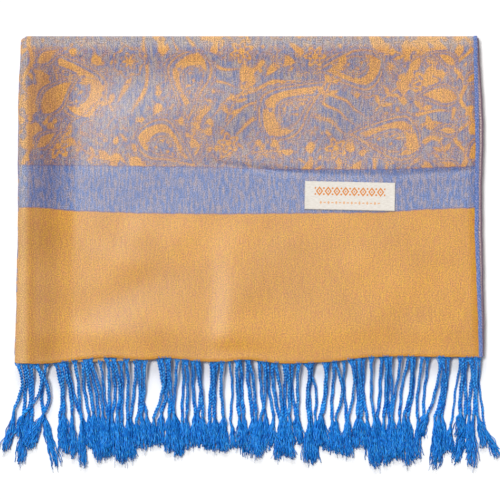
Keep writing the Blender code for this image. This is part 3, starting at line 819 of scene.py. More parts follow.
@dataclass(frozen=True)
class FringeSilk:
    """Royal blue silk warp ends, twisted and knotted: bright fibre streaks, painted shade and highlights on
    cords.
    """

    name: str = "silk_fringe_twisted"
    tones: tuple[str, str, str, str] = ("#0050ae", "#0079de", "#089cf6", "#5cbcfe")
    painted_shade: str = "#00388a"  # painted shade in the gaps between the turns of a cord
    twist: float = 2.3  # mm of cord between two gaps, half a turn of its plies

    def make(self) -> Material:
        """Builds the material, which reads the UV map "strand": round and along, in metres.

        Returns:
            The material.
        """
        finish = Finish(self.name, roughness=0.5, specular=0.3)
        add, place = finish.add, finish.place("strand")
        round_it, along, _ = add(Node.SPLIT, place).node.outputs
        fibre = finish.noise(place, 0.6, 3.6)
        yarn = finish.noise(place, 3.0, 7.0, 1.0, 21.0)
        value = finish.total((fibre, 0.6), (yarn, 0.4))
        silk = add(Node.RAMP, value, stops=zip((0.37, 0.47, 0.56, 0.65), self.tones))
        turns = finish.total((along, 2 * math.pi / self.twist), (round_it, 2 * math.pi / ROUND_A_TUBE))
        wave = add(Node.SINE, turns)
        on_cord = add(Node.STEP, along, TAIL_AT - 1.5, TAIL_AT - 0.5, 0.5, 0.0)
        # Painted shade in the gaps between a cord's turns, and a painted highlight on each turn, on the cords
        # only.
        gap = add(Node.MULTIPLY, add(Node.STEP, wave, -0.9, 0.0, 1.0, 0.0), on_cord)
        painted_ply_highlight = add(Node.MULTIPLY, add(Node.STEP, wave, 0.2, 0.9), on_cord)
        colour = add(Node.MIX, painted_ply_highlight, add(Node.MIX, gap, silk, self.painted_shade), self.tones[3])
        return finish.done(colour, fibre, 0.2 * MM)


@dataclass(frozen=True)
class LayerEdges:
    """The same silk on its folded and woven edges, colours mixed along each layer, grooves in painted shade.
    """

    name: str = "silk_layers_folded"
    orange: tuple[str, str] = ("#c98e58", "#e3b37c")
    lilac: tuple[str, str] = ("#8082ad", "#b3a5b4")
    ladder: tuple[str, str] = ("#5d4860", "#b08a80")  # the oversewn edges: gaps and yarn
    painted_shade: str = "#3d3040"  # painted shade in the grooves between layers

    def make(self) -> Material:
        """Builds the material: "pattern" holds the figure, the woven edge's share, and the grooves' painted
        shade.

        Returns:
            The material.
        """
        finish = Finish(self.name, roughness=0.55, specular=0.5, sheen=0.12, sheen_tint="#fff0e0")
        add, place = finish.add, finish.place("cloth")
        figure, woven, groove = finish.parts("pattern")
        fleck = finish.noise(place, 0.85, 0.85, 1.5)
        fine = finish.noise(place, 0.6, 0.7, 0.0, 31.0)
        short_warp = finish.noise(place, 0.85, 3.6, 0.5, 19.0)
        stitch = finish.noise(place, 0.9, 1.1, 0.0, 3.0)
        inked = add(Node.STEP, finish.frayed(figure, fine, 1.8), -0.25, 0.3)
        ground = add(Node.RAMP, short_warp, stops=zip((0.35, 0.65), self.lilac))
        weft = add(Node.RAMP, fleck, stops=zip((0.35, 0.65), self.orange))
        stitches = add(Node.RAMP, stitch, stops=zip((0.42, 0.55), self.ladder))
        colour = add(Node.MIX, woven, add(Node.MIX, inked, ground, weft), stitches)
        # Painted shade: darker in the grooves between layers.
        colour = add(Node.MIX, add(Node.MULTIPLY, groove, 0.5), colour, self.painted_shade)
        return finish.done(colour, fleck, 0.15 * MM)


# ---------------------------------------------------------------- the top panel
def carried_round(y: Array, z: Array, angle: Array) -> tuple[Array, Array]:
    """Places carried round the crosswise fold: the height over its axis becomes a radius.

    Args:
        y: Places along the flat cloth.
        z: Heights there.
        angle: How far each is carried round, 0 where it isn't.

    Returns:
        The places and the heights.
    """
    radius = z - TURN_AXIS_Z
    over = angle > 0
    return (np.where(over, TURN_AXIS_Y + radius * np.sin(angle), y),
            np.where(over, TURN_AXIS_Z + radius * np.cos(angle), z))


def panel_rows(coarse: float, fine: float, turn_steps: int) -> tuple[Array, Array]:
    """Rows of points from the hem to the far end, finer in the paisley field.

    Args:
        coarse: Their spacing in the plain zones, in metres.
        fine: Their spacing in the paisley field.
        turn_steps: How many rows carry the cloth round the crosswise fold.

    Returns:
        For each row its share of the way from hem to fold, and its angle round the fold.
    """
    near_field, far_field = -12 * MM, 20 * MM
    y = np.concatenate([
        np.linspace(NEAR_EDGE, near_field, round((near_field - NEAR_EDGE) / coarse))[:-1],
        np.linspace(near_field, far_field, round((far_field - near_field) / coarse * 1.2))[:-1],
        np.linspace(far_field, TURN_AXIS_Y, round((TURN_AXIS_Y - far_field) / fine)),
    ])
    share = (y - NEAR_EDGE) / (TURN_AXIS_Y - NEAR_EDGE)
    share = np.concatenate([share, np.ones(turn_steps)])
    angle = np.concatenate([np.zeros(len(y)), math.pi * np.arange(1, turn_steps + 1) / turn_steps])
    return share[:, None], angle[:, None]


def figure_of_top(u: Array, v: Array) -> Array:
    """The paisley field's own composition, laid out for this cloth, in millimetres.

    Args:
        u: Places across the flat cloth.
        v: Places along it.

    Returns:
        How far each place lies inside the figure.
    """
    weave = Weave(u, v)
    weave.arabesque(7.2, 0.40, 0.0)
    weave.arabesque(4.4, 0.90, 0.13)
    for sweep in (((-142, 100), (50, 64), (-34, 26), 2, 3.4), ((30, 8), (58, 80), (42, 138), 3, 3.2),
                  ((152, 8), (40, 60), (88, 176), 3, 3.6), ((-6, 142), (44, 56), (196, 268), 2, 3.0)):
        weave.sweep(*sweep)
    for paisley in (((-128, 82), 60, 18, -0.24), ((-68, 44), 50, -104, 0.28), ((-46, 94), 52, 158, -0.26),
                    ((26, 66), 60, -34, 0.26), ((84, 98), 50, 110, 0.28), ((112, 46), 54, 66, -0.26)):
        weave.paisley(*paisley)
    weave.medallion((-92, 104), 13, 7)
    for flower in (((-146, 40), 11, 6, 10), ((-6, 112), 10, 6, 20), ((-16, 42), 9, 5, 30),
                   ((50, 108), 9, 6, 0), ((134, 88), 11, 6, 12), ((66, 38), 9, 5, 40)):
        weave.flower(*flower)
    for sprig in (((-104, 66), 34, 26, 3, -0.3), ((-18, 58), 34, -16, 3, 0.3), ((56, 72), 34, -14, 3, 0.2),
                  ((-112, 30), 26, 76, 2, 0.3), ((96, 66), 32, -30, 3, 0.3), ((128, 62), 34, -26, 3, -0.2),
                  ((142, 96), 30, 8, 3, 0.2), ((124, 104), 28, 50, 2, -0.3), ((150, 30), 30, 14, 3, -0.2),
                  ((2, 34), 26, -72, 2, 0.3)):
        weave.sprig(*sprig)
    weave.vine(163, 4.0, 27, 18, 134)
    weave.vine(-168, 2.6, 32, 20, 134)
    return weave.ink


@dataclass
class TopPanel:
    """The uppermost panel: top layer, lengthwise fold, under layer, and the crosswise fold."""

    coarse: float = 2.4 * MM  # between rows in the plain zones
    fine: float = 1.1 * MM  # and in the paisley field
    columns: int = 303  # points across the top layer
    under_columns: int = 39  # and across the under layer, of which little shows
    thick: float = 0.7 * MM  # the cloth's own thickness, which its rolled rims show
    turn_steps: int = 12
    side_steps: int = 8
    rim_steps: int = 4
    tuck: float = 1.6 * MM  # how far the cloth runs on under its selvedge
    lip: float = 2.5 * MM  # how far the rolled hem reaches back inside

    def build(self) -> tuple[Array, Array, Array]:
        """Works out the cloth's points and their places on the flat cloth.

        Each row runs from the top layer's selvedge leftwards, half round the lengthwise fold and back
        along the under layer. Extra rows at the hem roll its edge under in half a circle.

        Returns:
            The points in rows, and their places across and along the flat cloth.
        """
        share, angle = panel_rows(self.coarse, self.fine, self.turn_steps)
        y_row = NEAR_EDGE + share * (TURN_AXIS_Y - NEAR_EDGE)
        drawn_in = corner(np.where(angle > 0, TURN_AXIS_Y + TURN_RADIUS * np.sin(angle), y_row))
        left = edge_softly(LEFT_FOLD, y_row) + drawn_in + SIDE_RADIUS
        left = left + 0.25 * MM * wander(y_row, (0.031, 0.057), 2.0)
        right = edge_softly(RIGHT_EDGE, y_row) - SELVEDGE_WIDTH + self.tuck
        under = edge_softly(UNDER_EDGE, y_row) - self.tuck

        across = np.linspace(0, 1, self.columns)[None, :]
        x = right + across * (left - right)
        hem = edge_softly(HEM, x) + 0.18 * MM * wander(x, (0.0071, 0.013, 0.031), 0.3)
        y = hem + share * (TURN_AXIS_Y - hem)
        tucked = 0.35 * MM * smooth((x - right + 2.0 * MM) / (2.0 * MM))
        z = UPPER_TOP + lift(x, y) - tucked
        upper = [x, *carried_round(y, z, angle)]

        swing = math.pi * np.arange(1, self.side_steps)[None, :] / self.side_steps
        x_fold = left - SIDE_RADIUS * np.sin(swing)
        hem_fold = edge(HEM, left) + (edge(UNDER_HEM, left) - edge(HEM, left)) * swing / math.pi
        y_fold = hem_fold + share * (TURN_AXIS_Y - hem_fold)
        z_fold = SIDE_AXIS_Z + SIDE_RADIUS * np.cos(swing)
        fold = [x_fold, *carried_round(y_fold, z_fold, angle)]

        back = np.linspace(0, 1, self.under_columns)[None, :]
        x_under = left + back * (under - left)
        hem_under = edge_softly(UNDER_HEM, x_under)
        y_under = hem_under + share * (TURN_AXIS_Y - hem_under)
        lower = [x_under, *carried_round(y_under, LOWER_BOTTOM + 0 * x_under, angle)]

        parts = [np.stack(np.broadcast_arrays(*part), axis=-1) for part in (upper, fold, lower)]
        points = np.concatenate(parts, axis=1)
        outside = np.concatenate([np.zeros_like(x), swing + 0 * x_fold, math.pi + 0 * x_under], axis=1)
        folded_u = 2 * left - math.pi * SIDE_RADIUS - x_under
        u = np.concatenate([x, left - SIDE_RADIUS * swing, folded_u], axis=1)
        v_flat = np.concatenate([y, y_fold, y_under], axis=1)
        v = np.where(angle > 0, TURN_AXIS_Y + TURN_RADIUS * angle, v_flat)
        return self.with_hem(points, outside, u, v)

    def with_hem(self, points: Array, outside: Array, u: Array, v: Array) -> tuple[Array, Array, Array]:
        """Adds the rows that roll the hem under: a lip inside, then half a circle of the cloth's thickness.

        Args:
            points: The panel's points.
            outside: The angle from the top at which the cloth faces, for each column of the panel.
            u: Places across the flat cloth.
            v: Places along it.

        Returns:
            The points and the two places, with those rows in front.
        """
        radius = self.thick / 2
        bend = math.pi * (1 - np.arange(self.rim_steps) / self.rim_steps)
        in_y = np.concatenate([[self.lip], -radius * np.sin(bend)])
        down = np.concatenate([[self.thick], radius * (1 - np.cos(bend))])
        first, facing = points[0], outside[0]
        rim = np.repeat(first[None], len(in_y), axis=0)
        rim[..., 0] += down[:, None] * np.sin(facing)
        rim[..., 1] += in_y[:, None]
        rim[..., 2] -= down[:, None] * np.cos(facing)
        rim_u = np.repeat(u[:1], len(in_y), axis=0)
        rim_v = v[:1] + np.concatenate([[-self.lip - math.pi * radius], -radius * bend])[:, None]
        return (np.concatenate([rim, points]), np.concatenate([rim_u, u]), np.concatenate([rim_v, v]))

    def dress(self, silk: Material) -> Piece:
        """Makes the panel's mesh and stores the weave's zones and figure on it.

        Args:
            silk: Its material.

        Returns:
            The piece.
        """
        points, u, v = self.build()
        faces = grid_faces(*points.shape[:2])[:, ::-1]
        piece = add_piece("top_panel", points, faces, silk)
        write_uv(piece, "cloth", u, v)
        above = v - edge_softly(STRIPE_FAR, u) - 0.25 * MM * wander(u, (0.011, 0.019), 0.2)
        below = edge_softly(STRIPE_NEAR, u) - v + 0.25 * MM * wander(u, (0.009, 0.023), 0.9)
        write_vector(piece, "pattern", figure_of_top(u / MM, v / MM), above / MM, below / MM)
        # Painted shade on the pressed fold's flank; rougher silk and a painted highlight on both folds'
        # crests.
        painted_fold_shade = rising(u, -172, 7) * rising(-u, 139, 14)
        height = 0.6 + 0.4 * rising(v, -16, 18) * rising(-v, -126, 30)
        rubbed = np.maximum(rising(-u, 158, 9), rising(v, 98, 10))
        painted_highlight = np.maximum(rising(-u, 167, 6), rising(v, 112, 7))
        write_vector(piece, "pressed", painted_fold_shade * height, rubbed, painted_highlight)
        return piece


# ---------------------------------------------------------------- selvedges and label
@dataclass
class Selvedge:
    """A woven edge of one layer, oversewn: a low rounded band that rolls over the edge."""

    name: str
    table: list[Edge]  # the outline that it runs along
    hem: list[Edge]  # and the one that it starts at
    width: float
    base: float  # its height over the surface, before the layer's lift
    lifted: bool  # whether it follows the creases of the top layer
    step: float = 0.5 * MM  # between its rows
    high: float = 0.55 * MM  # how far its middle stands over its sides
    stitch: float = 0.16 * MM  # how far a stitch stands out

    def build(self) -> tuple[Array, Array, Array]:
        """Works out the band: a profile of half an ellipse with a rolled outer side, along the edge.

        Returns:
            The points in rows, and their places across and along the band.
        """
        y = np.arange(NEAR_EDGE, TURN_AXIS_Y, self.step)
        turn = math.pi * np.arange(0, 15) / 14
        share = np.concatenate([(y - NEAR_EDGE) / (TURN_AXIS_Y - NEAR_EDGE), np.ones(len(turn))])[:, None]
        angle = np.concatenate([np.zeros(len(y)), turn])[:, None]
        y_row = NEAR_EDGE + share * (TURN_AXIS_Y - NEAR_EDGE)
        right = edge_softly(self.table, y_row) + 0.18 * MM * wander(y_row, (0.019, 0.043), 0.8)
        round_it = math.pi * np.array([-0.28, -0.12, 0.0, 0.12, 0.26, 0.42, 0.58, 0.74, 0.88, 1.0])[None, :]
        x = right - self.width / 2 + self.width / 2 * np.cos(round_it)
        hem = edge_softly(self.hem, x)
        y_flat = hem + share * (TURN_AXIS_Y - hem)
        along = np.where(angle > 0, TURN_AXIS_Y + TURN_RADIUS * angle, y_flat)
        turns = (along + STITCH_SLANT * (x - right)) / (STITCH_PITCH * MM)
        ladder = self.stitch * np.sin(turns * 2 * math.pi) * np.clip(np.sin(round_it), 0, 1)
        rise = lift(np.minimum(x, right), y_flat) if self.lifted else 0
        z = self.base + rise + self.high * np.sin(round_it) + ladder
        points = np.stack(np.broadcast_arrays(x, *carried_round(y_flat, z, angle)), axis=-1)
        return points, x - right + 0 * along, along + 0 * x

    def dress(self, yarn: Material) -> Piece:
        """Makes the band's mesh.

        Args:
            yarn: Its material.

        Returns:
            The piece.
        """
        points, u, v = self.build()
        piece = add_piece(self.name, points, grid_faces(*points.shape[:2])[:, ::-1], yarn)
        write_uv(piece, "cloth", u, v)
        return piece


@dataclass
class Label:
    """The sewn-on woven label, its face left to a plain ornament of lozenges and dashes."""

    width: float = 69.0 * MM
    depth: float = 21.7 * MM
    centre: tuple[float, float] = (76.6 * MM, 1.5 * MM)
    turn: float = math.radians(-1.2)
    step: float = 0.36 * MM  # between its points
    low: float = 0.3 * MM  # how far its cut edge stands over the top layer's flat face
    high: float = 1.1 * MM  # and its own face over that edge
    rim: float = 0.5 * MM  # how wide its rounded rim is

    def build(self) -> tuple[Array, Array, Array]:
        """Works out its points: the top layer's own, moved out, with a rounded rim that goes down.

        Returns:
            The points in rows, and their places across and along the label.
        """
        u = np.linspace(-0.5, 0.5, round(self.width / self.step)) * self.width
        v = np.linspace(-0.5, 0.5, round(self.depth / self.step)) * self.depth
        u = np.concatenate([[u[0]], u, [u[-1]]])[None, :]
        v = np.concatenate([[v[0]], v, [v[-1]]])[:, None]
        in_u, in_v = self.width / 2 - np.abs(u), self.depth / 2 - np.abs(v)
        from_rim = np.clip(np.minimum(in_u, in_v) / self.rim, 0, 1)
        shape = 0.35 + 0.65 * np.sqrt(1 - (1 - from_rim) ** 2)
        shape[[0, -1]] = 0
        shape[:, [0, -1]] = 0
        frayed = 0.12 * MM * wander(u + 2 * v, (0.006, 0.0031), 0.5) * np.sign(v)
        cut_v = v + frayed * (in_v < 0.01 * self.depth)
        x = self.centre[0] + u * math.cos(self.turn) - (v + frayed) * math.sin(self.turn)
        y = self.centre[1] + u * math.sin(self.turn) + cut_v * math.cos(self.turn)
        curl = 0.35 * MM * smooth((np.abs(u) / (self.width / 2) - 0.9) / 0.1) * (v < 0)
        z = UPPER_TOP + lift(x, y) + self.low + self.high * shape + curl
        z = z + 0.07 * MM * wander(u + 0.4 * v, (0.017, 0.029), 1.0)
        return np.stack(np.broadcast_arrays(x, y, z), axis=-1), u + 0 * v, v + 0 * u

    def ornament(self, u: Array, v: Array) -> tuple[Array, Array]:
        """A row of bold hollow lozenges and dots, and under it a row of small pale lozenges and dashes.

        Args:
            u: Places across the label from its middle, in millimetres.
            v: Places along it.

        Returns:
            How far each place lies inside the bold and the pale ornament.
        """
        pitch, half, row = 6.65, 26.6, 3.4
        cell = (u + half) % pitch - pitch / 2
        out = np.abs(cell) * 1.3 + np.abs(v - row)
        bold = np.maximum(band(out, 2.0, 3.7), 0.9 - out) * 0.7
        dots = 0.8 - np.hypot(np.abs(cell) - pitch / 2, np.abs(v - row) - 2.3)
        bold = np.minimum(np.maximum(bold, dots), half + 0.4 - np.abs(u))
        pitch, half, row = 2.95, 23.6, -5.2
        cell = (u + half) % pitch - pitch / 2
        lozenge = (1.5 - np.abs(cell) * 1.5 - np.abs(v - row)) * 0.6
        dash = np.minimum(0.95 - np.abs(cell), 0.5 - np.abs(v - row))
        pale = np.where(np.floor((u + half) / pitch) % 2 == 0, lozenge, dash)
        return bold, np.minimum(pale, half - np.abs(u))

    def dress(self, satin: Material) -> Piece:
        """Makes the label's mesh and stores its ornament on it.

        Args:
            satin: Its material.

        Returns:
            The piece.
        """
        points, u, v = self.build()
        piece = add_piece("woven_label", points, grid_faces(*points.shape[:2]), satin)
        write_uv(piece, "cloth", u, v)
        bold, pale = self.ornament(u / MM, v / MM)
        from_rim = np.minimum(self.width / 2 - np.abs(u), self.depth / 2 - np.abs(v)) / MM
        write_vector(piece, "pattern", bold, pale, from_rim)
        return piece


# ---------------------------------------------------------------- the hidden panels
class Panel(NamedTuple):
    """One hidden panel: its height, and how far it stands out past the top panel on each side, in mm."""

    thickness: float
    left: float
    right: float
    near: float
    far: float


PANELS = [
    Panel(1.09, 0.2, -0.9, -2.2, -3.4),
    Panel(1.09, -0.6, 0.9, -2.0, -2.0),
    Panel(1.09, 0.9, 0.1, -2.8, -2.2),
    Panel(1.09, 0.4, 1.2, -2.9, -0.9),
    Panel(1.09, 1.0, -0.7, -1.7, -1.1),
    Panel(2.85, -0.5, 0.4, -1.6, -3.2),
]


def bulge(place: Array) -> Array:
    """The round of a fold over places from 0 to 1: half a circle, 1 high in the middle and 0 at its ends."""
    return np.sqrt(np.clip(1 - (2 * place - 1) ** 2, 0, 1))


@dataclass
class HiddenLayers:
    """The panels under the top one: a closed stack whose edges show every fold and woven edge."""

    spacing: float = 1.9 * MM  # of the points round it
    corner_radius: float = 4.0 * MM
    corner_steps: int = 6
    layer_steps: int = 6  # rows for the height of one layer of cloth
    groove: float = 0.75 * MM  # how deep the cloth draws in between two folds
    bottom_rings: int = 52  # enough for the figure on the underside
    top_rings: int = 5

    def outline(self) -> tuple[Array, Array, Array, Array]:
        """The stack's outline, anticlockwise from the near left corner, and which way each point faces.

        Returns:
            The points' places in X and Y, and the X and Y of the way each faces.
        """
        cut = self.corner_radius
        quarter = np.linspace(0, math.pi / 2, self.corner_steps + 2)[1:-1]
        left, right = edge(LEFT_FOLD, 0.0), edge(RIGHT_EDGE, 0.0)
        long_x = np.linspace(left + cut, right - cut, round((right - left) / self.spacing))
        long_y = np.linspace(NEAR_EDGE + cut, TOP_EDGE - cut, round((TOP_EDGE - NEAR_EDGE) / self.spacing))
        runs = []  # each side, and the corner after it: which way it faces, and where it runs
        for turn, side_x, side_y, corner_x, corner_y in (
                (-math.pi / 2, long_x, NEAR_EDGE, right - cut, NEAR_EDGE + cut),
                (0.0, right, long_y, right - cut, TOP_EDGE - cut),
                (math.pi / 2, long_x[::-1], TOP_EDGE, left + cut, TOP_EDGE - cut),
                (math.pi, left, long_y[::-1], left + cut, NEAR_EDGE + cut)):
            runs.append(np.broadcast_arrays(turn, side_x, side_y))
            runs.append(np.broadcast_arrays(quarter + turn, corner_x, corner_y))
        facing, at_x, at_y = np.concatenate(runs, axis=1)
        out_x, out_y = np.cos(facing), np.sin(facing)
        in_corner = (np.abs(out_x) > 0.01) & (np.abs(out_y) > 0.01)
        at_x = at_x + np.where(in_corner, cut * out_x, 0)
        at_y = at_y + np.where(in_corner, cut * out_y, 0)
        # The straight sides give way to the top panel's real edges.
        at_x = at_x + np.clip(out_x, 0, 1) * (edge_softly(RIGHT_EDGE, at_y) - right)
        at_x = at_x + np.clip(-out_x, 0, 1) * (edge_softly(LEFT_FOLD, at_y) - left)
        at_y = at_y + np.clip(-out_y, 0, 1) * (edge_softly(HEM, at_x) - NEAR_EDGE)
        return at_x, at_y, out_x, out_y

    def levels(self) -> tuple[Array, Array, Array]:
        """Heights of the rows up the stack's side, and each row's panel and share of that panel.

        Returns:
            The heights in metres, the panels' numbers, and the shares.
        """
        steps = 2 * self.layer_steps
        share = np.tile((np.arange(steps) + 0.5) / steps, len(PANELS))
        number = np.repeat(np.arange(len(PANELS)), steps)
        thick = np.array([panel.thickness for panel in PANELS]) * MM
        under = np.concatenate([[0.0], np.cumsum(thick)[:-1]])
        return under[number] + share * thick[number], number, share

    def side(self, number: Array, at: Array, size: Array, group: Array, place: Array, phase: float) -> Array:
        """How far a side stands out: the panel's own size, a waver, and a rounded bulge for each fold.

        Args:
            number: The panel of each row.
            at: Distance along the side.
            size: Each panel's size on this side, in millimetres.
            group: Which bulge each row belongs to.
            place: Its place in that bulge, from 0 to 1.
            phase: Sets this side's waver apart from the others.

        Returns:
            The distance outwards, in metres, for each row and each place along.
        """
        waver = 0.3 * wander(at[None, :] + group[:, None] * 0.017, (0.047, 0.081, 0.023), phase)
        waver = waver + 0.22 * np.sin(group * 2.4 + phase)[:, None]
        uneven = 1 + 0.4 * wander(at[None, :], (0.037, 0.061), group[0] + phase)
        depth = self.groove / MM * (1 - bulge(place))[:, None] * uneven
        return (size[number][:, None] + waver - depth) * MM

    def build(self) -> tuple[Array, Array, Array, Array, Array]:
        """Works out the stack's points: rings under it, its sides row by row, and rings over it.

        Returns:
            The points in rings, their places on the cloth, and at each point how much woven edge shows
            and how much painted shade its groove gets.
        """
        at_x, at_y, out_x, out_y = self.outline()
        height, number, share = self.levels()
        start = np.concatenate([[0], np.cumsum([panel.thickness for panel in PANELS])])
        pair, far_pair = number // 2, (number + 1) // 2
        near_place = (height / MM - start[2 * pair]) / (start[2 * pair + 2] - start[2 * pair])
        low = start[np.maximum(2 * far_pair - 1, 0)]
        high = start[np.minimum(2 * far_pair + 1, len(PANELS))]
        far_place = (height / MM - low) / (high - low)
        # Each panel shows one fold at the left and two woven edges at the right, and shares a fold with the
        # panel under or over it at the near and far sides.
        x, y, fullness = at_x, at_y, 0.0
        for name, way_x, way_y, at, group, place, phase in (
                ("left", -1, 0, at_y, number, share, 0.3),
                ("right", 1, 0, at_y, 2 * number + (share > 0.5), (2 * share) % 1, 1.9),
                ("near", 0, -1, at_x, pair, near_place, 3.1),
                ("far", 0, 1, at_x, far_pair, far_place, 4.4)):
            size = np.array([getattr(panel, name) for panel in PANELS])
            facing = np.clip(way_x * out_x + way_y * out_y, 0, 1)
            away = self.side(number, at, size, group, place, phase) * facing
            x, y = x + way_x * away, y + way_y * away
            fullness = fullness + bulge(place)[:, None] * facing
        z = np.repeat(height[:, None], len(at_x), axis=1)
        unrolled_x, unrolled_y = x + out_x * z, y + out_y * z
        woven = np.clip(out_x, 0, 1)[None, :] ** 2 + 0 * x
        # Painted shade for the grooves, where the cloth draws in between two folds.
        groove = np.clip(1 - fullness, 0, 1) ** 2

        def rings(row: int, level: float, count: int, outwards: bool) -> tuple[Array, ...]:
            """Rings that close the stack, from its middle out to a row of its side, or back in.

            Args:
                row: The row of the side that they meet.
                level: Their height.
                count: How many.
                outwards: Whether they start from the middle.

            Returns:
                The same seven arrays as the sides have.
            """
            middle_x, middle_y = x[row].mean(), y[row].mean()
            shrink = np.linspace(0.0, 1.0, count + 1)[1:]
            shrink = shrink if outwards else shrink[::-1]
            ring_x = middle_x + shrink[:, None] * (x[row] - middle_x)
            ring_y = middle_y + shrink[:, None] * (y[row] - middle_y)
            return ring_x, ring_y, np.full(ring_x.shape, level), ring_x, ring_y, 0 * ring_x, 0 * ring_x

        side = (x, y, z, unrolled_x, unrolled_y, woven, groove)
        parts = [rings(0, 0.0, self.bottom_rings, True), side, rings(-1, STACK_HEIGHT, self.top_rings, False)]
        x, y, z, unrolled_x, unrolled_y, woven, groove = [np.concatenate(group) for group in zip(*parts)]
        return np.stack([x, y, z], axis=-1), unrolled_x, unrolled_y, woven, groove

    def dress(self, finish: Material) -> Piece:
        """Makes the stack's mesh, closes its two poles, and stores the figure on it.

        Args:
            finish: Its material.

        Returns:
            The piece.
        """
        points, u, v, woven, groove = self.build()
        rows, columns, _ = points.shape
        faces = grid_faces(rows, columns, wrap=True).tolist()
        faces.append(list(range(columns))[::-1])
        faces.append([(rows - 1) * columns + n for n in range(columns)])
        piece = add_piece("hidden_layers", points, faces, finish)
        write_uv(piece, "cloth", u, v)
        # The pattern's third part is the grooves' painted shade.
        write_vector(piece, "pattern", figure_of_underside(u / MM, v / MM), woven, groove)
        return piece


def figure_of_underside(u: Array, v: Array) -> Array:
    """The paisley field on the underside and the folded edges: the same motifs, set wider apart.

    Args:
        u: Places across, in millimetres.
        v: Places along.

    Returns:
        How far each place lies inside the figure, in millimetres.
    """
    weave = Weave(u, v)
    weave.arabesque(6.4, 0.5, 0.06)
    for row in range(4):
        for column in range(5):
            at = (-142 + 71 * column + (row % 2) * 26, -96 + 64 * row)
            side = 1 if (row + column) % 2 else -1
            weave.paisley(at, 52, 30 * side + 90 * (column % 2), 0.27 * side)
            weave.flower((at[0] + 35, at[1] + 6), 9, 6, 10 * column)
            weave.sprig((at[0] + 30, at[1] - 30), 28, 40 * side, 3, 0.25 * side)
    return weave.ink


# ---------------------------------------------------------------- the fringe
class Strand(NamedTuple):
    """One strand, seen from above: where its root, middle, knot and tip lie, in mm, and how thick it is."""

    root: float
    middle: float
    knot: float
    knot_y: float
    tip: float
    tip_y: float
    thick: float


UPPER_STRANDS = [Strand(*row) for row in (
    (-177, -174, -179.5, -160, -186.5, -193.5, 1), (-164, -154, -157, -163, -169.5, -192, 1.1),
    (-162.5, -160, -172.5, -164.5, -179, -182, 0.95), (-144, -142.5, -142.5, -163, -141, -195.5, 1.1),
    (-141, -138, -135.5, -163.5, -136, -198, 1), (-133.5, -130.5, -129, -169, -127.5, -205.5, 1),
    (-125, -122.5, -120, -161.5, -116, -201, 1.1), (-121.5, -115.5, -112, -163, -110.5, -198, 0.95),
    (-109, -107, -108.5, -167.5, -108.5, -192, 1), (-104, -99.5, -101, -163, -99.5, -201, 1.1),
    (-94, -93, -93.5, -167.5, -92.5, -200, 1), (-85, -83.5, -86.5, -170.5, -85, -191, 1),
    (-80, -81, -82.5, -163, -80.5, -192, 1), (-67.5, -66, -74, -168, -72.5, -188.5, 0.95),
    (-62, -60.5, -61.5, -165, -62, -194, 1.1), (-55, -57, -58, -163.5, -56, -196.5, 0.9),
    (-48.5, -47, -48.5, -164.5, -48.5, -192, 1), (-40, -37.5, -35.5, -166, -34.5, -189.5, 1.05),
    (-28, -27.5, -27, -168, -26.5, -192.5, 1), (-21, -21.5, -20.5, -165, -18.5, -193.5, 1),
    (-9, -9.5, -7.5, -166, -7, -191, 1.1), (-1, 3.5, 4.5, -164.5, 5.5, -198.5, 1),
    (11, 12, 9, -166, 5.5, -198, 0.95), (20, 23, 25.5, -164.5, 26.5, -195, 1),
    (28, 30.5, 30, -164.5, 31.5, -198.5, 1.05), (37.5, 36.5, 37, -165, 39, -187, 0.95),
    (46.5, 44.5, 45.5, -169.5, 44.5, -201.5, 1), (57.5, 58.5, 55, -164.5, 54.5, -189.5, 1.15),
    (65, 70.5, 66, -168, 69, -195.5, 0.9), (77, 80, 75, -166, 76.5, -197, 0.85),
    (83.5, 85, 85.5, -166.5, 86.5, -191, 1.1), (93, 93, 95, -166, 96.5, -205.5, 0.9),
    (104, 104.5, 102.5, -166.5, 104, -204, 1), (107.5, 108.5, 109, -169, 110, -198.5, 0.9),
    (115, 112.5, 108.5, -165, 112, -199.5, 0.9), (123.5, 123.5, 118.5, -164.5, 120, -204, 1),
    (132, 129, 128.5, -167.5, 128, -199.5, 0.9), (145, 143.5, 136.5, -163.5, 130.5, -181, 0.95),
    (146.5, 149.5, 145, -165, 144, -201.5, 1), (162.5, 162, 161, -163, 161, -182.5, 1.1),
    (168, 172, 171.5, -164.5, 169.5, -204, 1.1), (173.5, 173, 174.5, -165, 179, -190, 0.95),
)]
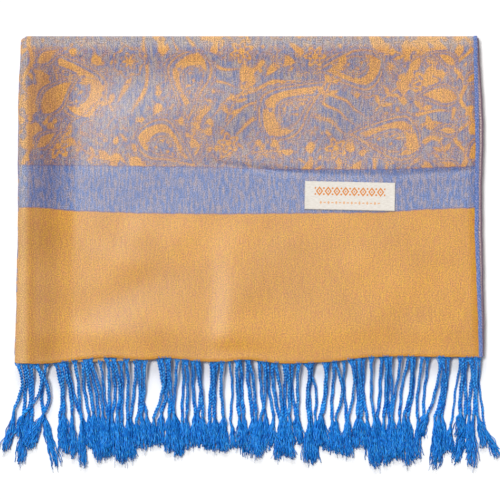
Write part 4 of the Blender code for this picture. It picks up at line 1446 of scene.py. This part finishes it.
LOWER_STRANDS = [Strand(*row) for row in (
    (-172.5, -171.5, -173, -165, -174.5, -203, 1), (-171, -168, -169.5, -163, -171.5, -189.5, 0.9),
    (-166.5, -166.5, -166.5, -166.5, -168.5, -190, 1), (-155, -158.5, -158.5, -163.5, -148, -206, 0.95),
    (-148, -144, -145, -166.5, -144, -188.5, 0.95), (-140, -135.5, -129, -166.5, -123.5, -188.5, 1),
    (-127, -126.5, -123.5, -164.5, -120, -192, 0.95), (-123.5, -118.5, -115.5, -164.5, -113, -196.5, 1),
    (-114, -111.5, -109, -166, -107.5, -198.5, 0.85), (-106, -103, -105.5, -164.5, -104, -196.5, 1),
    (-98, -97.5, -98, -169.5, -97, -202.5, 0.95), (-87, -88, -91.5, -166, -90, -199.5, 0.95),
    (-83.5, -84, -79, -163, -75.5, -190, 1), (-69, -66, -58, -163, -55, -185.5, 1),
    (-63.5, -63, -67.5, -163, -67.5, -189.5, 1), (-50.5, -51, -51.5, -169.5, -52, -197, 0.9),
    (-43.5, -43, -42, -163.5, -43, -190, 1), (-38.5, -37.5, -39, -163, -39, -191, 1),
    (-29.5, -29.5, -31, -169, -31, -192, 1), (-24.5, -26.5, -27, -166.5, -21.5, -194, 1),
    (-15.5, -13.5, -14.5, -169, -12, -191, 0.75), (-7.5, -6, -5, -164.5, -2.5, -197, 1.1),
    (-1.5, -0.5, 2.5, -167.5, 2, -192, 1.1), (7.5, 8.5, 12.5, -164.5, 10.5, -193.5, 0.95),
    (13.5, 15, 18, -166, 16.5, -189.5, 0.95), (18, 18.5, 24, -169.5, 21, -199.5, 1.1),
    (26.5, 27, 27.5, -167.5, 28.5, -197, 1), (33, 32.5, 35.5, -166.5, 37.5, -188, 1),
    (42, 50, 50.5, -164.5, 50.5, -201.5, 0.8), (48, 46, 46.5, -165, 47.5, -202.5, 1),
    (59.5, 58, 54, -168, 59.5, -192.5, 1.1), (64.5, 63.5, 63, -168, 64.5, -195, 0.95),
    (72, 72.5, 74, -169, 73.5, -196.5, 0.9), (79.5, 82.5, 83, -165, 80.5, -191, 1),
    (87, 87, 89.5, -167.5, 93, -203, 1), (101, 100, 98, -165, 100, -201, 1),
    (105.5, 106, 106.5, -164.5, 107, -201.5, 0.95), (121.5, 117, 114.5, -166, 116, -200, 0.9),
    (125.5, 125, 121.5, -166, 123.5, -201.5, 0.95), (136, 134.5, 133, -164.5, 132, -182.5, 0.9),
    (148, 147.5, 142, -167.5, 142.5, -206, 1), (152, 150.5, 147.5, -166.5, 149.5, -195.5, 0.95),
    (161, 158, 154, -172.5, 153.5, -194, 0.7), (165.5, 165, 165.5, -165, 158, -202.5, 1),
    (170.5, 169.5, 168, -165, 166.5, -193.5, 1), (175.5, 176.5, 180, -175, 190, -198, 0.75),
)]


def frame_of(path: Array) -> tuple[Array, Array]:
    """The level direction and the upward direction square to each path.

    The level one is the way ahead, seen from above and turned a quarter to the left.

    Args:
        path: Points of shape (tubes, steps, 3).

    Returns:
        Both directions, at every point.
    """
    ahead = np.gradient(path, axis=1)
    ahead /= np.linalg.norm(ahead, axis=2, keepdims=True)
    level = np.stack([-ahead[..., 1], ahead[..., 0], 0 * ahead[..., 0]], axis=-1)
    level /= np.linalg.norm(level, axis=2, keepdims=True)
    return level, np.cross(ahead, level)


class Tubes:
    """Many thin tubes gathered into one mesh."""

    def __init__(self) -> None:
        """Starts with none."""
        self.points: list[Array] = []
        self.faces: list[list[int]] = []
        self.round_it: list[Array] = []
        self.along: list[Array] = []
        self.count = 0

    def add(self, path: Array, radius: Array, flat: Array | float, sides: int, start: float = 0.0) -> None:
        """Carries a ring along each of several paths.

        The ring stands square to the path: one axis lies level, the other is turned up from it.

        Args:
            path: Points of shape (tubes, steps, 3).
            radius: Half the width at each step, of shape (tubes, steps) or able to fill it.
            flat: Height over width of the ring.
            sides: Points in a ring.
            start: Distance along the strand at which the paths start.
        """
        tubes, steps, _ = path.shape
        level, upward = frame_of(path)
        radius = np.broadcast_to(radius, (tubes, steps))[..., None, None]
        flat = np.broadcast_to(flat, (tubes, steps))[..., None, None]
        swing = (2 * math.pi * np.arange(sides) / sides)[None, None, :, None]
        ring = path[:, :, None, :] + radius * (np.cos(swing) * level[:, :, None, :]
                                               + flat * np.sin(swing) * upward[:, :, None, :])
        length = np.cumsum(np.linalg.norm(np.diff(path, axis=1, prepend=path[:, :1]), axis=2), axis=1) + start
        quads = grid_faces(steps, sides, wrap=True)
        first = self.count + np.arange(tubes)[:, None, None] * steps * sides
        self.faces += (quads[None] + first).reshape(-1, 4).tolist()
        ends = np.arange(sides)
        self.faces += (ends[None, ::-1] + first[:, 0]).tolist()
        self.faces += (ends[None, :] + first[:, 0] + (steps - 1) * sides).tolist()
        self.points.append(ring.reshape(-1, 3))
        # Each tube has its own place on the UV map, so that no two look alike.
        own = (np.arange(tubes)[:, None, None] * 7.3 + len(self.points) * 5.1) * MM
        turn = np.broadcast_to(np.arange(sides) / sides * ROUND_A_TUBE * MM, (tubes, steps, sides))
        self.round_it.append((own + turn).ravel())
        self.along.append(np.repeat(length[:, :, None], sides, axis=2).ravel())
        self.count += tubes * steps * sides

    def dress(self, name: str, material: Material) -> Piece:
        """Makes the mesh of all the tubes.

        Args:
            name: The piece's name.
            material: Its material.

        Returns:
            The piece.
        """
        piece = add_piece(name, np.concatenate(self.points), self.faces, material)
        write_uv(piece, "strand", np.concatenate(self.round_it), np.concatenate(self.along))
        return piece


@dataclass
class Fringe:
    """One row of twisted, knotted strands that end in loose, crimped tails."""

    name: str
    hem: list[Edge]
    strands: list[Strand]
    strip_z: float  # heights of the strands at the hem, along the cord, at the knot and at the tip, in mm
    cord_z: float
    knot_z: float
    tip_z: float
    fall_from: float  # mm from the hem, where the strands start to fall, and where they lie at rest
    fall_to: float
    over_hem: float  # how high some roots start over the hem, in mm, or 0
    cord_steps: int = 60
    locks: int = 22
    lock_steps: int = 18
    ply: float = 0.74  # mm, radius of one of a cord's two plies
    wind: float = 0.84  # mm, how far a ply's middle lies from the cord's
    twist: float = 4.6  # mm, one full turn of the plies
    outside: float = 1.1  # mm, how far outside the hem the distances along a strand start
    inside: float = 2.2  # mm, how far back from there the root threads reach at most
    spread: float = 2.9  # mm, half the width of a tail
    stray: int = 4  # hairs that leave each tail
    root_threads: int = 7

    def __post_init__(self) -> None:
        """Turns the row's strands into columns, and starts its own run of chance."""
        columns = np.array(self.strands).T[:, :, None]
        self.root, self.half_way, self.knot, self.knot_y, self.tip, self.tip_y, self.thick = columns
        self.start = edge(self.hem, self.root * MM) / MM - self.outside
        self.long = self.start - self.knot_y
        self.tail = self.knot_y - self.tip_y
        self.own = np.arange(len(self.strands))[:, None]
        self.shake = np.random.default_rng(SEED + len(self.strands))

    def vary(self, low: float, high: float) -> Array:
        """One chance value for each strand."""
        return self.shake.uniform(low, high, (len(self.strands), 1))

    def phase(self) -> Array:
        """One chance angle for each strand, anywhere in a turn."""
        return self.vary(0, 6.28)

    def middle(self, distance: Array) -> Array:
        """The middle line of every strand at the given distances from the hem, in millimetres.

        The cord runs from root to knot along a parabola through its half-way place, and wavers. The
        tail runs on to its tip. Both fall from the strip to rest on what is under them as a smooth step.

        Args:
            distance: Distances of shape (strands, steps).

        Returns:
            Points of shape (strands, steps, 3), in metres.
        """
        t = np.clip(distance / self.long, 0, 1)
        past = np.clip((distance - self.long) / self.tail, 0, 1.3)
        bow = self.half_way - (self.root + self.knot) / 2
        x = self.root + (self.knot - self.root) * t + 4 * bow * t * (1 - t) + (self.tip - self.knot) * past
        waver = 0.35 * np.sin(distance / 5.7 + self.own * 2.4) + 0.2 * np.sin(distance / 2.1 + self.own * 1.3)
        x = x + waver * smooth(distance / 12)
        fall = smooth((distance - self.fall_from) / (self.fall_to - self.fall_from))
        hop = 0.8 * (self.own * 2 % 3 - 1) * np.sin(math.pi * t)
        rest = self.cord_z + hop + (self.knot_z - self.cord_z) * smooth(t * 5 - 4)
        rest = rest + (self.tip_z - self.knot_z) * smooth(past * 1.6)
        z = self.strip_z + (rest - self.strip_z) * fall
        z = z + self.over_hem * (self.own % 3 > 0) * smooth(-distance / 1.6)
        return np.stack([x, self.start - distance, z + 0 * x], axis=-1) * MM

    def beside(self, distance: Array, across: Array, up: Array, lowest: float) -> Array:
        """Points beside the middle line: so far across and so far up, in mm, kept clear of the floor.

        Args:
            distance: Distances from the hem, in millimetres.
            across: How far across.
            up: How far up.
            lowest: The least height.

        Returns:
            Points of shape (strands, steps, 3), in metres.
        """
        path = self.middle(distance)
        level, upward = frame_of(path)
        centre = path + (across[..., None] * level + up[..., None] * upward) * MM
        centre[..., 2] = np.maximum(centre[..., 2], lowest * MM)
        return centre

    def cords(self, tubes: Tubes) -> None:
        """Two plies wound round each other; at the hem they start apart, where the warp is gathered.

        Args:
            tubes: Where they are added.
        """
        distance = 0.6 + (self.long - 0.6) * np.linspace(0, 1, self.cord_steps)[None, :]
        turns = distance / self.twist * 2 * math.pi + self.phase()
        spread = 0.6 * (1 - smooth(distance / 4.5))
        wound = smooth(distance / 3.5)
        for ply in (0, 1):
            swing = turns + math.pi * ply
            across = self.thick * self.wind * np.cos(swing) * wound + spread * (2 * ply - 1)
            up = self.thick * self.wind * np.sin(swing) * wound
            centre = self.beside(distance, across, up, 0.7)
            width = self.ply * self.thick * (1 + 0.12 * np.sin(distance / 3.1 + ply + self.own))
            tubes.add(centre, width * np.clip(0.35 + distance / 4, 0.35, 1) * MM, 0.9, 5)

    def roots(self, tubes: Tubes) -> None:
        """Loose warp threads that leave the hem in a fan, some of them over it, and gather into the cord.

        Args:
            tubes: Where they are added.
        """
        share = np.linspace(0, 1, 9)[None, :]
        for thread in range(self.root_threads):
            place = (thread + 0.5) / self.root_threads * 2 - 1
            start = -self.inside * self.vary(0.3, 1.0)
            distance = start + (self.vary(4.5, 8.0) - start) * share
            across = place * 2.6 * self.thick * (1 - smooth(share * 1.15)) + self.vary(-0.3, 0.3)
            centre = self.beside(distance, across, 0.5 * self.vary(-1, 1) + 0 * across, 0.5)
            tubes.add(centre, 0.34 * (1 - 0.5 * np.abs(2 * share - 1) ** 6) * MM, 0.9, 4)

    def knots(self, tubes: Tubes) -> None:
        """Each knot is a short fat turn of cord round the strand: a ring, and the core inside it.

        Args:
            tubes: Where they are added.
        """
        size = self.vary(0.72, 0.98) * self.thick
        reach = np.linspace(-2.3, 2.6, 10)[None, :]
        core = self.middle(self.long + reach * size)
        swell = 0.62 + 0.85 * np.sqrt(np.clip(1 - (reach / 2.7) ** 2, 0.0, 1))
        tubes.add(core, swell * size * MM * 0.85, 0.9, 8)
        turns = np.linspace(-0.15, 1.35, 16)[None, :]
        path = self.middle(self.long + (turns - 0.6) * 1.9 * size)
        level, upward = frame_of(path)
        swing = turns * 2 * math.pi + self.phase()
        ring = path + 1.05 * size[..., None] * MM * (np.cos(swing)[..., None] * level
                                                     + 0.9 * np.sin(swing)[..., None] * upward)
        tubes.add(ring, 0.5 * MM, 1.0, 5)

    def tails(self, tubes: Tubes) -> None:
        """Loose locks of fibre below the knot: they open out, cross, crimp, and end unevenly.

        Args:
            tubes: Where they are added.
        """
        share = np.linspace(0, 1, self.lock_steps)[None, :]
        for lock in range(self.locks):
            place = (lock + 0.5) / self.locks * 2 - 1
            reach = self.vary(0.90, 1.05) - 0.08 * place**2
            way = self.tail * reach * share
            crimp = 0.28 * np.sin(way / self.vary(0.8, 1.3) + self.phase())
            crimp = crimp + 0.3 * np.sin(way / self.vary(1.9, 3.0) + self.phase())
            cross = 1.0 * np.sin(share * self.vary(2.5, 6.0) + self.phase()) * share
            curl = 3.4 * self.vary(-1, 1) ** 3 * smooth(share * 1.7 - 0.7)
            open_up = 0.2 + 0.8 * smooth(share * (1.3 + 0.5 * (self.own % 4)))
            across = (place * self.spread * self.thick + self.vary(-0.4, 0.4)) * open_up + curl
            across = across + (crimp + cross) * smooth(share * 4)
            up = (1.7 * (1 - place**2) - 0.8 + self.vary(-0.45, 0.45)) * open_up
            up = up + 0.2 * np.cos(way / 1.1 + lock)
            centre = self.beside(self.long + 0.4 + way, across, up, 0.35)
            width = 0.42 * (1 - 0.2 * smooth(share * 4 - 3))
            tubes.add(centre, width * MM, 0.85, 3, start=TAIL_AT * MM)

    def stray_hairs(self, tubes: Tubes) -> None:
        """A few fine fibres that leave each tail in wide curves.

        Args:
            tubes: Where they are added.
        """
        share = np.linspace(0, 1, 10)[None, :]
        for _ in range(self.stray):
            across = self.vary(-4.6, 4.6) * share**1.5
            across = across + 0.8 * np.sin(share * 9 + self.phase()) * share
            distance = self.long + 2 + self.tail * share * self.vary(0.7, 1.1)
            centre = self.beside(distance, across, 0 * across, 0.3)
            tubes.add(centre, 0.12 * MM, 1.0, 3, start=TAIL_AT * MM)

    def dress(self, silk: Material) -> Piece:
        """Makes the whole row as one mesh.

        Args:
            silk: Its material.

        Returns:
            The piece.
        """
        tubes = Tubes()
        for part in (self.cords, self.roots, self.knots, self.tails, self.stray_hairs):
            part(tubes)
        return tubes.dress(self.name, silk)


# ---------------------------------------------------------------- studio
class Lamp(NamedTuple):
    """A sun lamp: its strength, and in degrees its way round from +X to +Y, its height and its size."""

    strength: float
    way: float
    up: float
    size: float


@dataclass
class Studio:
    """A white floor, soft light from the far left, and a camera straight above."""

    centre: tuple[float, float] = (0.4 * MM, -39.6 * MM)
    across: float = 381.5 * MM  # what the square picture takes in, at the top panel's height
    camera_height: float = 2.6  # over the top panel
    sky: float = 0.23  # the strength of the sky's even white light
    lamps: tuple[Lamp, ...] = (Lamp(1.9, 146.0, 73.0, 13.0), Lamp(1.3, 96.0, 40.0, 28.0))
    reach: float = 3.0  # half the floor's width
    sunk: float = 0.05 * MM  # how far the floor lies under the shawl

    def floor(self) -> Piece:
        """A plain white floor, wider than any view.

        Returns:
            The piece.
        """
        reach, z = self.reach, -self.sunk
        corners = np.array([(-reach, -reach, z), (reach, -reach, z), (reach, reach, z), (-reach, reach, z)])
        finish = Finish("paper_backdrop_white", roughness=0.9, specular=0.1)
        finish.shader.inputs["Base Color"].default_value = linear("#ffffff")
        return add_piece("floor", corners, [(0, 1, 2, 3)], finish.material)

    def light(self) -> None:
        """An even white sky, a high key light that the silk mirrors, and a low soft one for the shadows."""
        world = bpy.data.worlds.new("studio")
        world.use_nodes = True
        background = world.node_tree.nodes["Background"]
        background.inputs["Color"].default_value = linear("#ffffff")
        background.inputs["Strength"].default_value = self.sky
        bpy.context.scene.world = world
        for number, lamp in enumerate(self.lamps):
            softbox = bpy.data.lights.new(f"softbox_{number}", "SUN")
            softbox.energy = lamp.strength
            softbox.angle = math.radians(lamp.size)
            holder = bpy.data.objects.new(softbox.name, softbox)
            holder.rotation_euler = (math.radians(90 - lamp.up), 0, math.radians(lamp.way + 90))
            bpy.context.collection.objects.link(holder)

    def camera(self) -> None:
        """A long lens straight above the shawl."""
        lens = bpy.data.cameras.new("camera")
        lens.sensor_width = 36.0
        lens.lens = lens.sensor_width * self.camera_height / self.across
        holder = bpy.data.objects.new("camera", lens)
        holder.location = (*self.centre, UPPER_TOP + self.camera_height)
        bpy.context.collection.objects.link(holder)
        bpy.context.scene.camera = holder

    def build(self) -> None:
        """Sets up floor, light and camera."""
        self.floor()
        self.light()
        self.camera()
        bpy.context.scene.view_settings.view_transform = "Standard"


def main() -> None:
    """Builds the studio and every piece of the shawl, and ties each piece to the frame."""
    logging.basicConfig(level=logging.INFO, format="%(message)s")
    Studio().build()
    silk = JacquardSilk().make()
    blue_yarn = SelvedgeYarn("yarn_selvedge_blue", yarn=("#4068ae", "#6488c4", "#989ecc"), gap="#6c689a",
                             rim="#b8a4b4", rim_start=0.55).make()
    # The under selvedge's dark outer side is painted shade on the edges of the lower layers.
    ladder_yarn = SelvedgeYarn("yarn_selvedge_back", yarn=("#a88c94", "#c8aeac", "#e4d0c4"), gap="#6a5670",
                               rim="#5e4a60", rim_start=1.7).make()
    fringe_silk = FringeSilk().make()

    hidden = HiddenLayers().dress(LayerEdges().make())
    panel = TopPanel().dress(silk)
    selvedge = Selvedge("selvedge_band", RIGHT_EDGE, HEM, width=SELVEDGE_WIDTH, base=UPPER_TOP - 0.15 * MM,
                        lifted=True).dress(blue_yarn)
    under = Selvedge("selvedge_under", UNDER_EDGE, UNDER_HEM, width=3.0 * MM, base=LOWER_TOP - 0.3 * MM,
                     lifted=False).dress(ladder_yarn)
    label = Label().dress(LabelSatin().make())
    upper = Fringe("fringe_top", HEM, UPPER_STRANDS, strip_z=10.5, cord_z=4.2, knot_z=4.6, tip_z=2.8,
                   fall_from=3.0, fall_to=29.0, over_hem=1.5).dress(fringe_silk)
    lower = Fringe("fringe_under", UNDER_HEM, LOWER_STRANDS, strip_z=9.1, cord_z=1.9, knot_z=2.2, tip_z=1.4,
                   fall_from=0.0, fall_to=22.0, over_hem=0.0, lock_steps=16).dress(fringe_silk)

    ties = [(hidden, "silk_layers", "folded_layers"), (panel, "silk_orange", "front_cloth"),
            (selvedge, "selvedge_blue", "selvedge_right"), (under, "silk_layers", None),
            (label, "label_white", "label"), (upper, "fringe_blue", "fringe_upper"),
            (lower, "fringe_blue", "fringe_lower")]
    for piece, slot, node in ties:
        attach(piece, "root")
        if node:
            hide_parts(node)
        LOG.info("%s: %d faces", piece.name, len(piece.data.polygons))


if __name__ == "__main__":
    main()
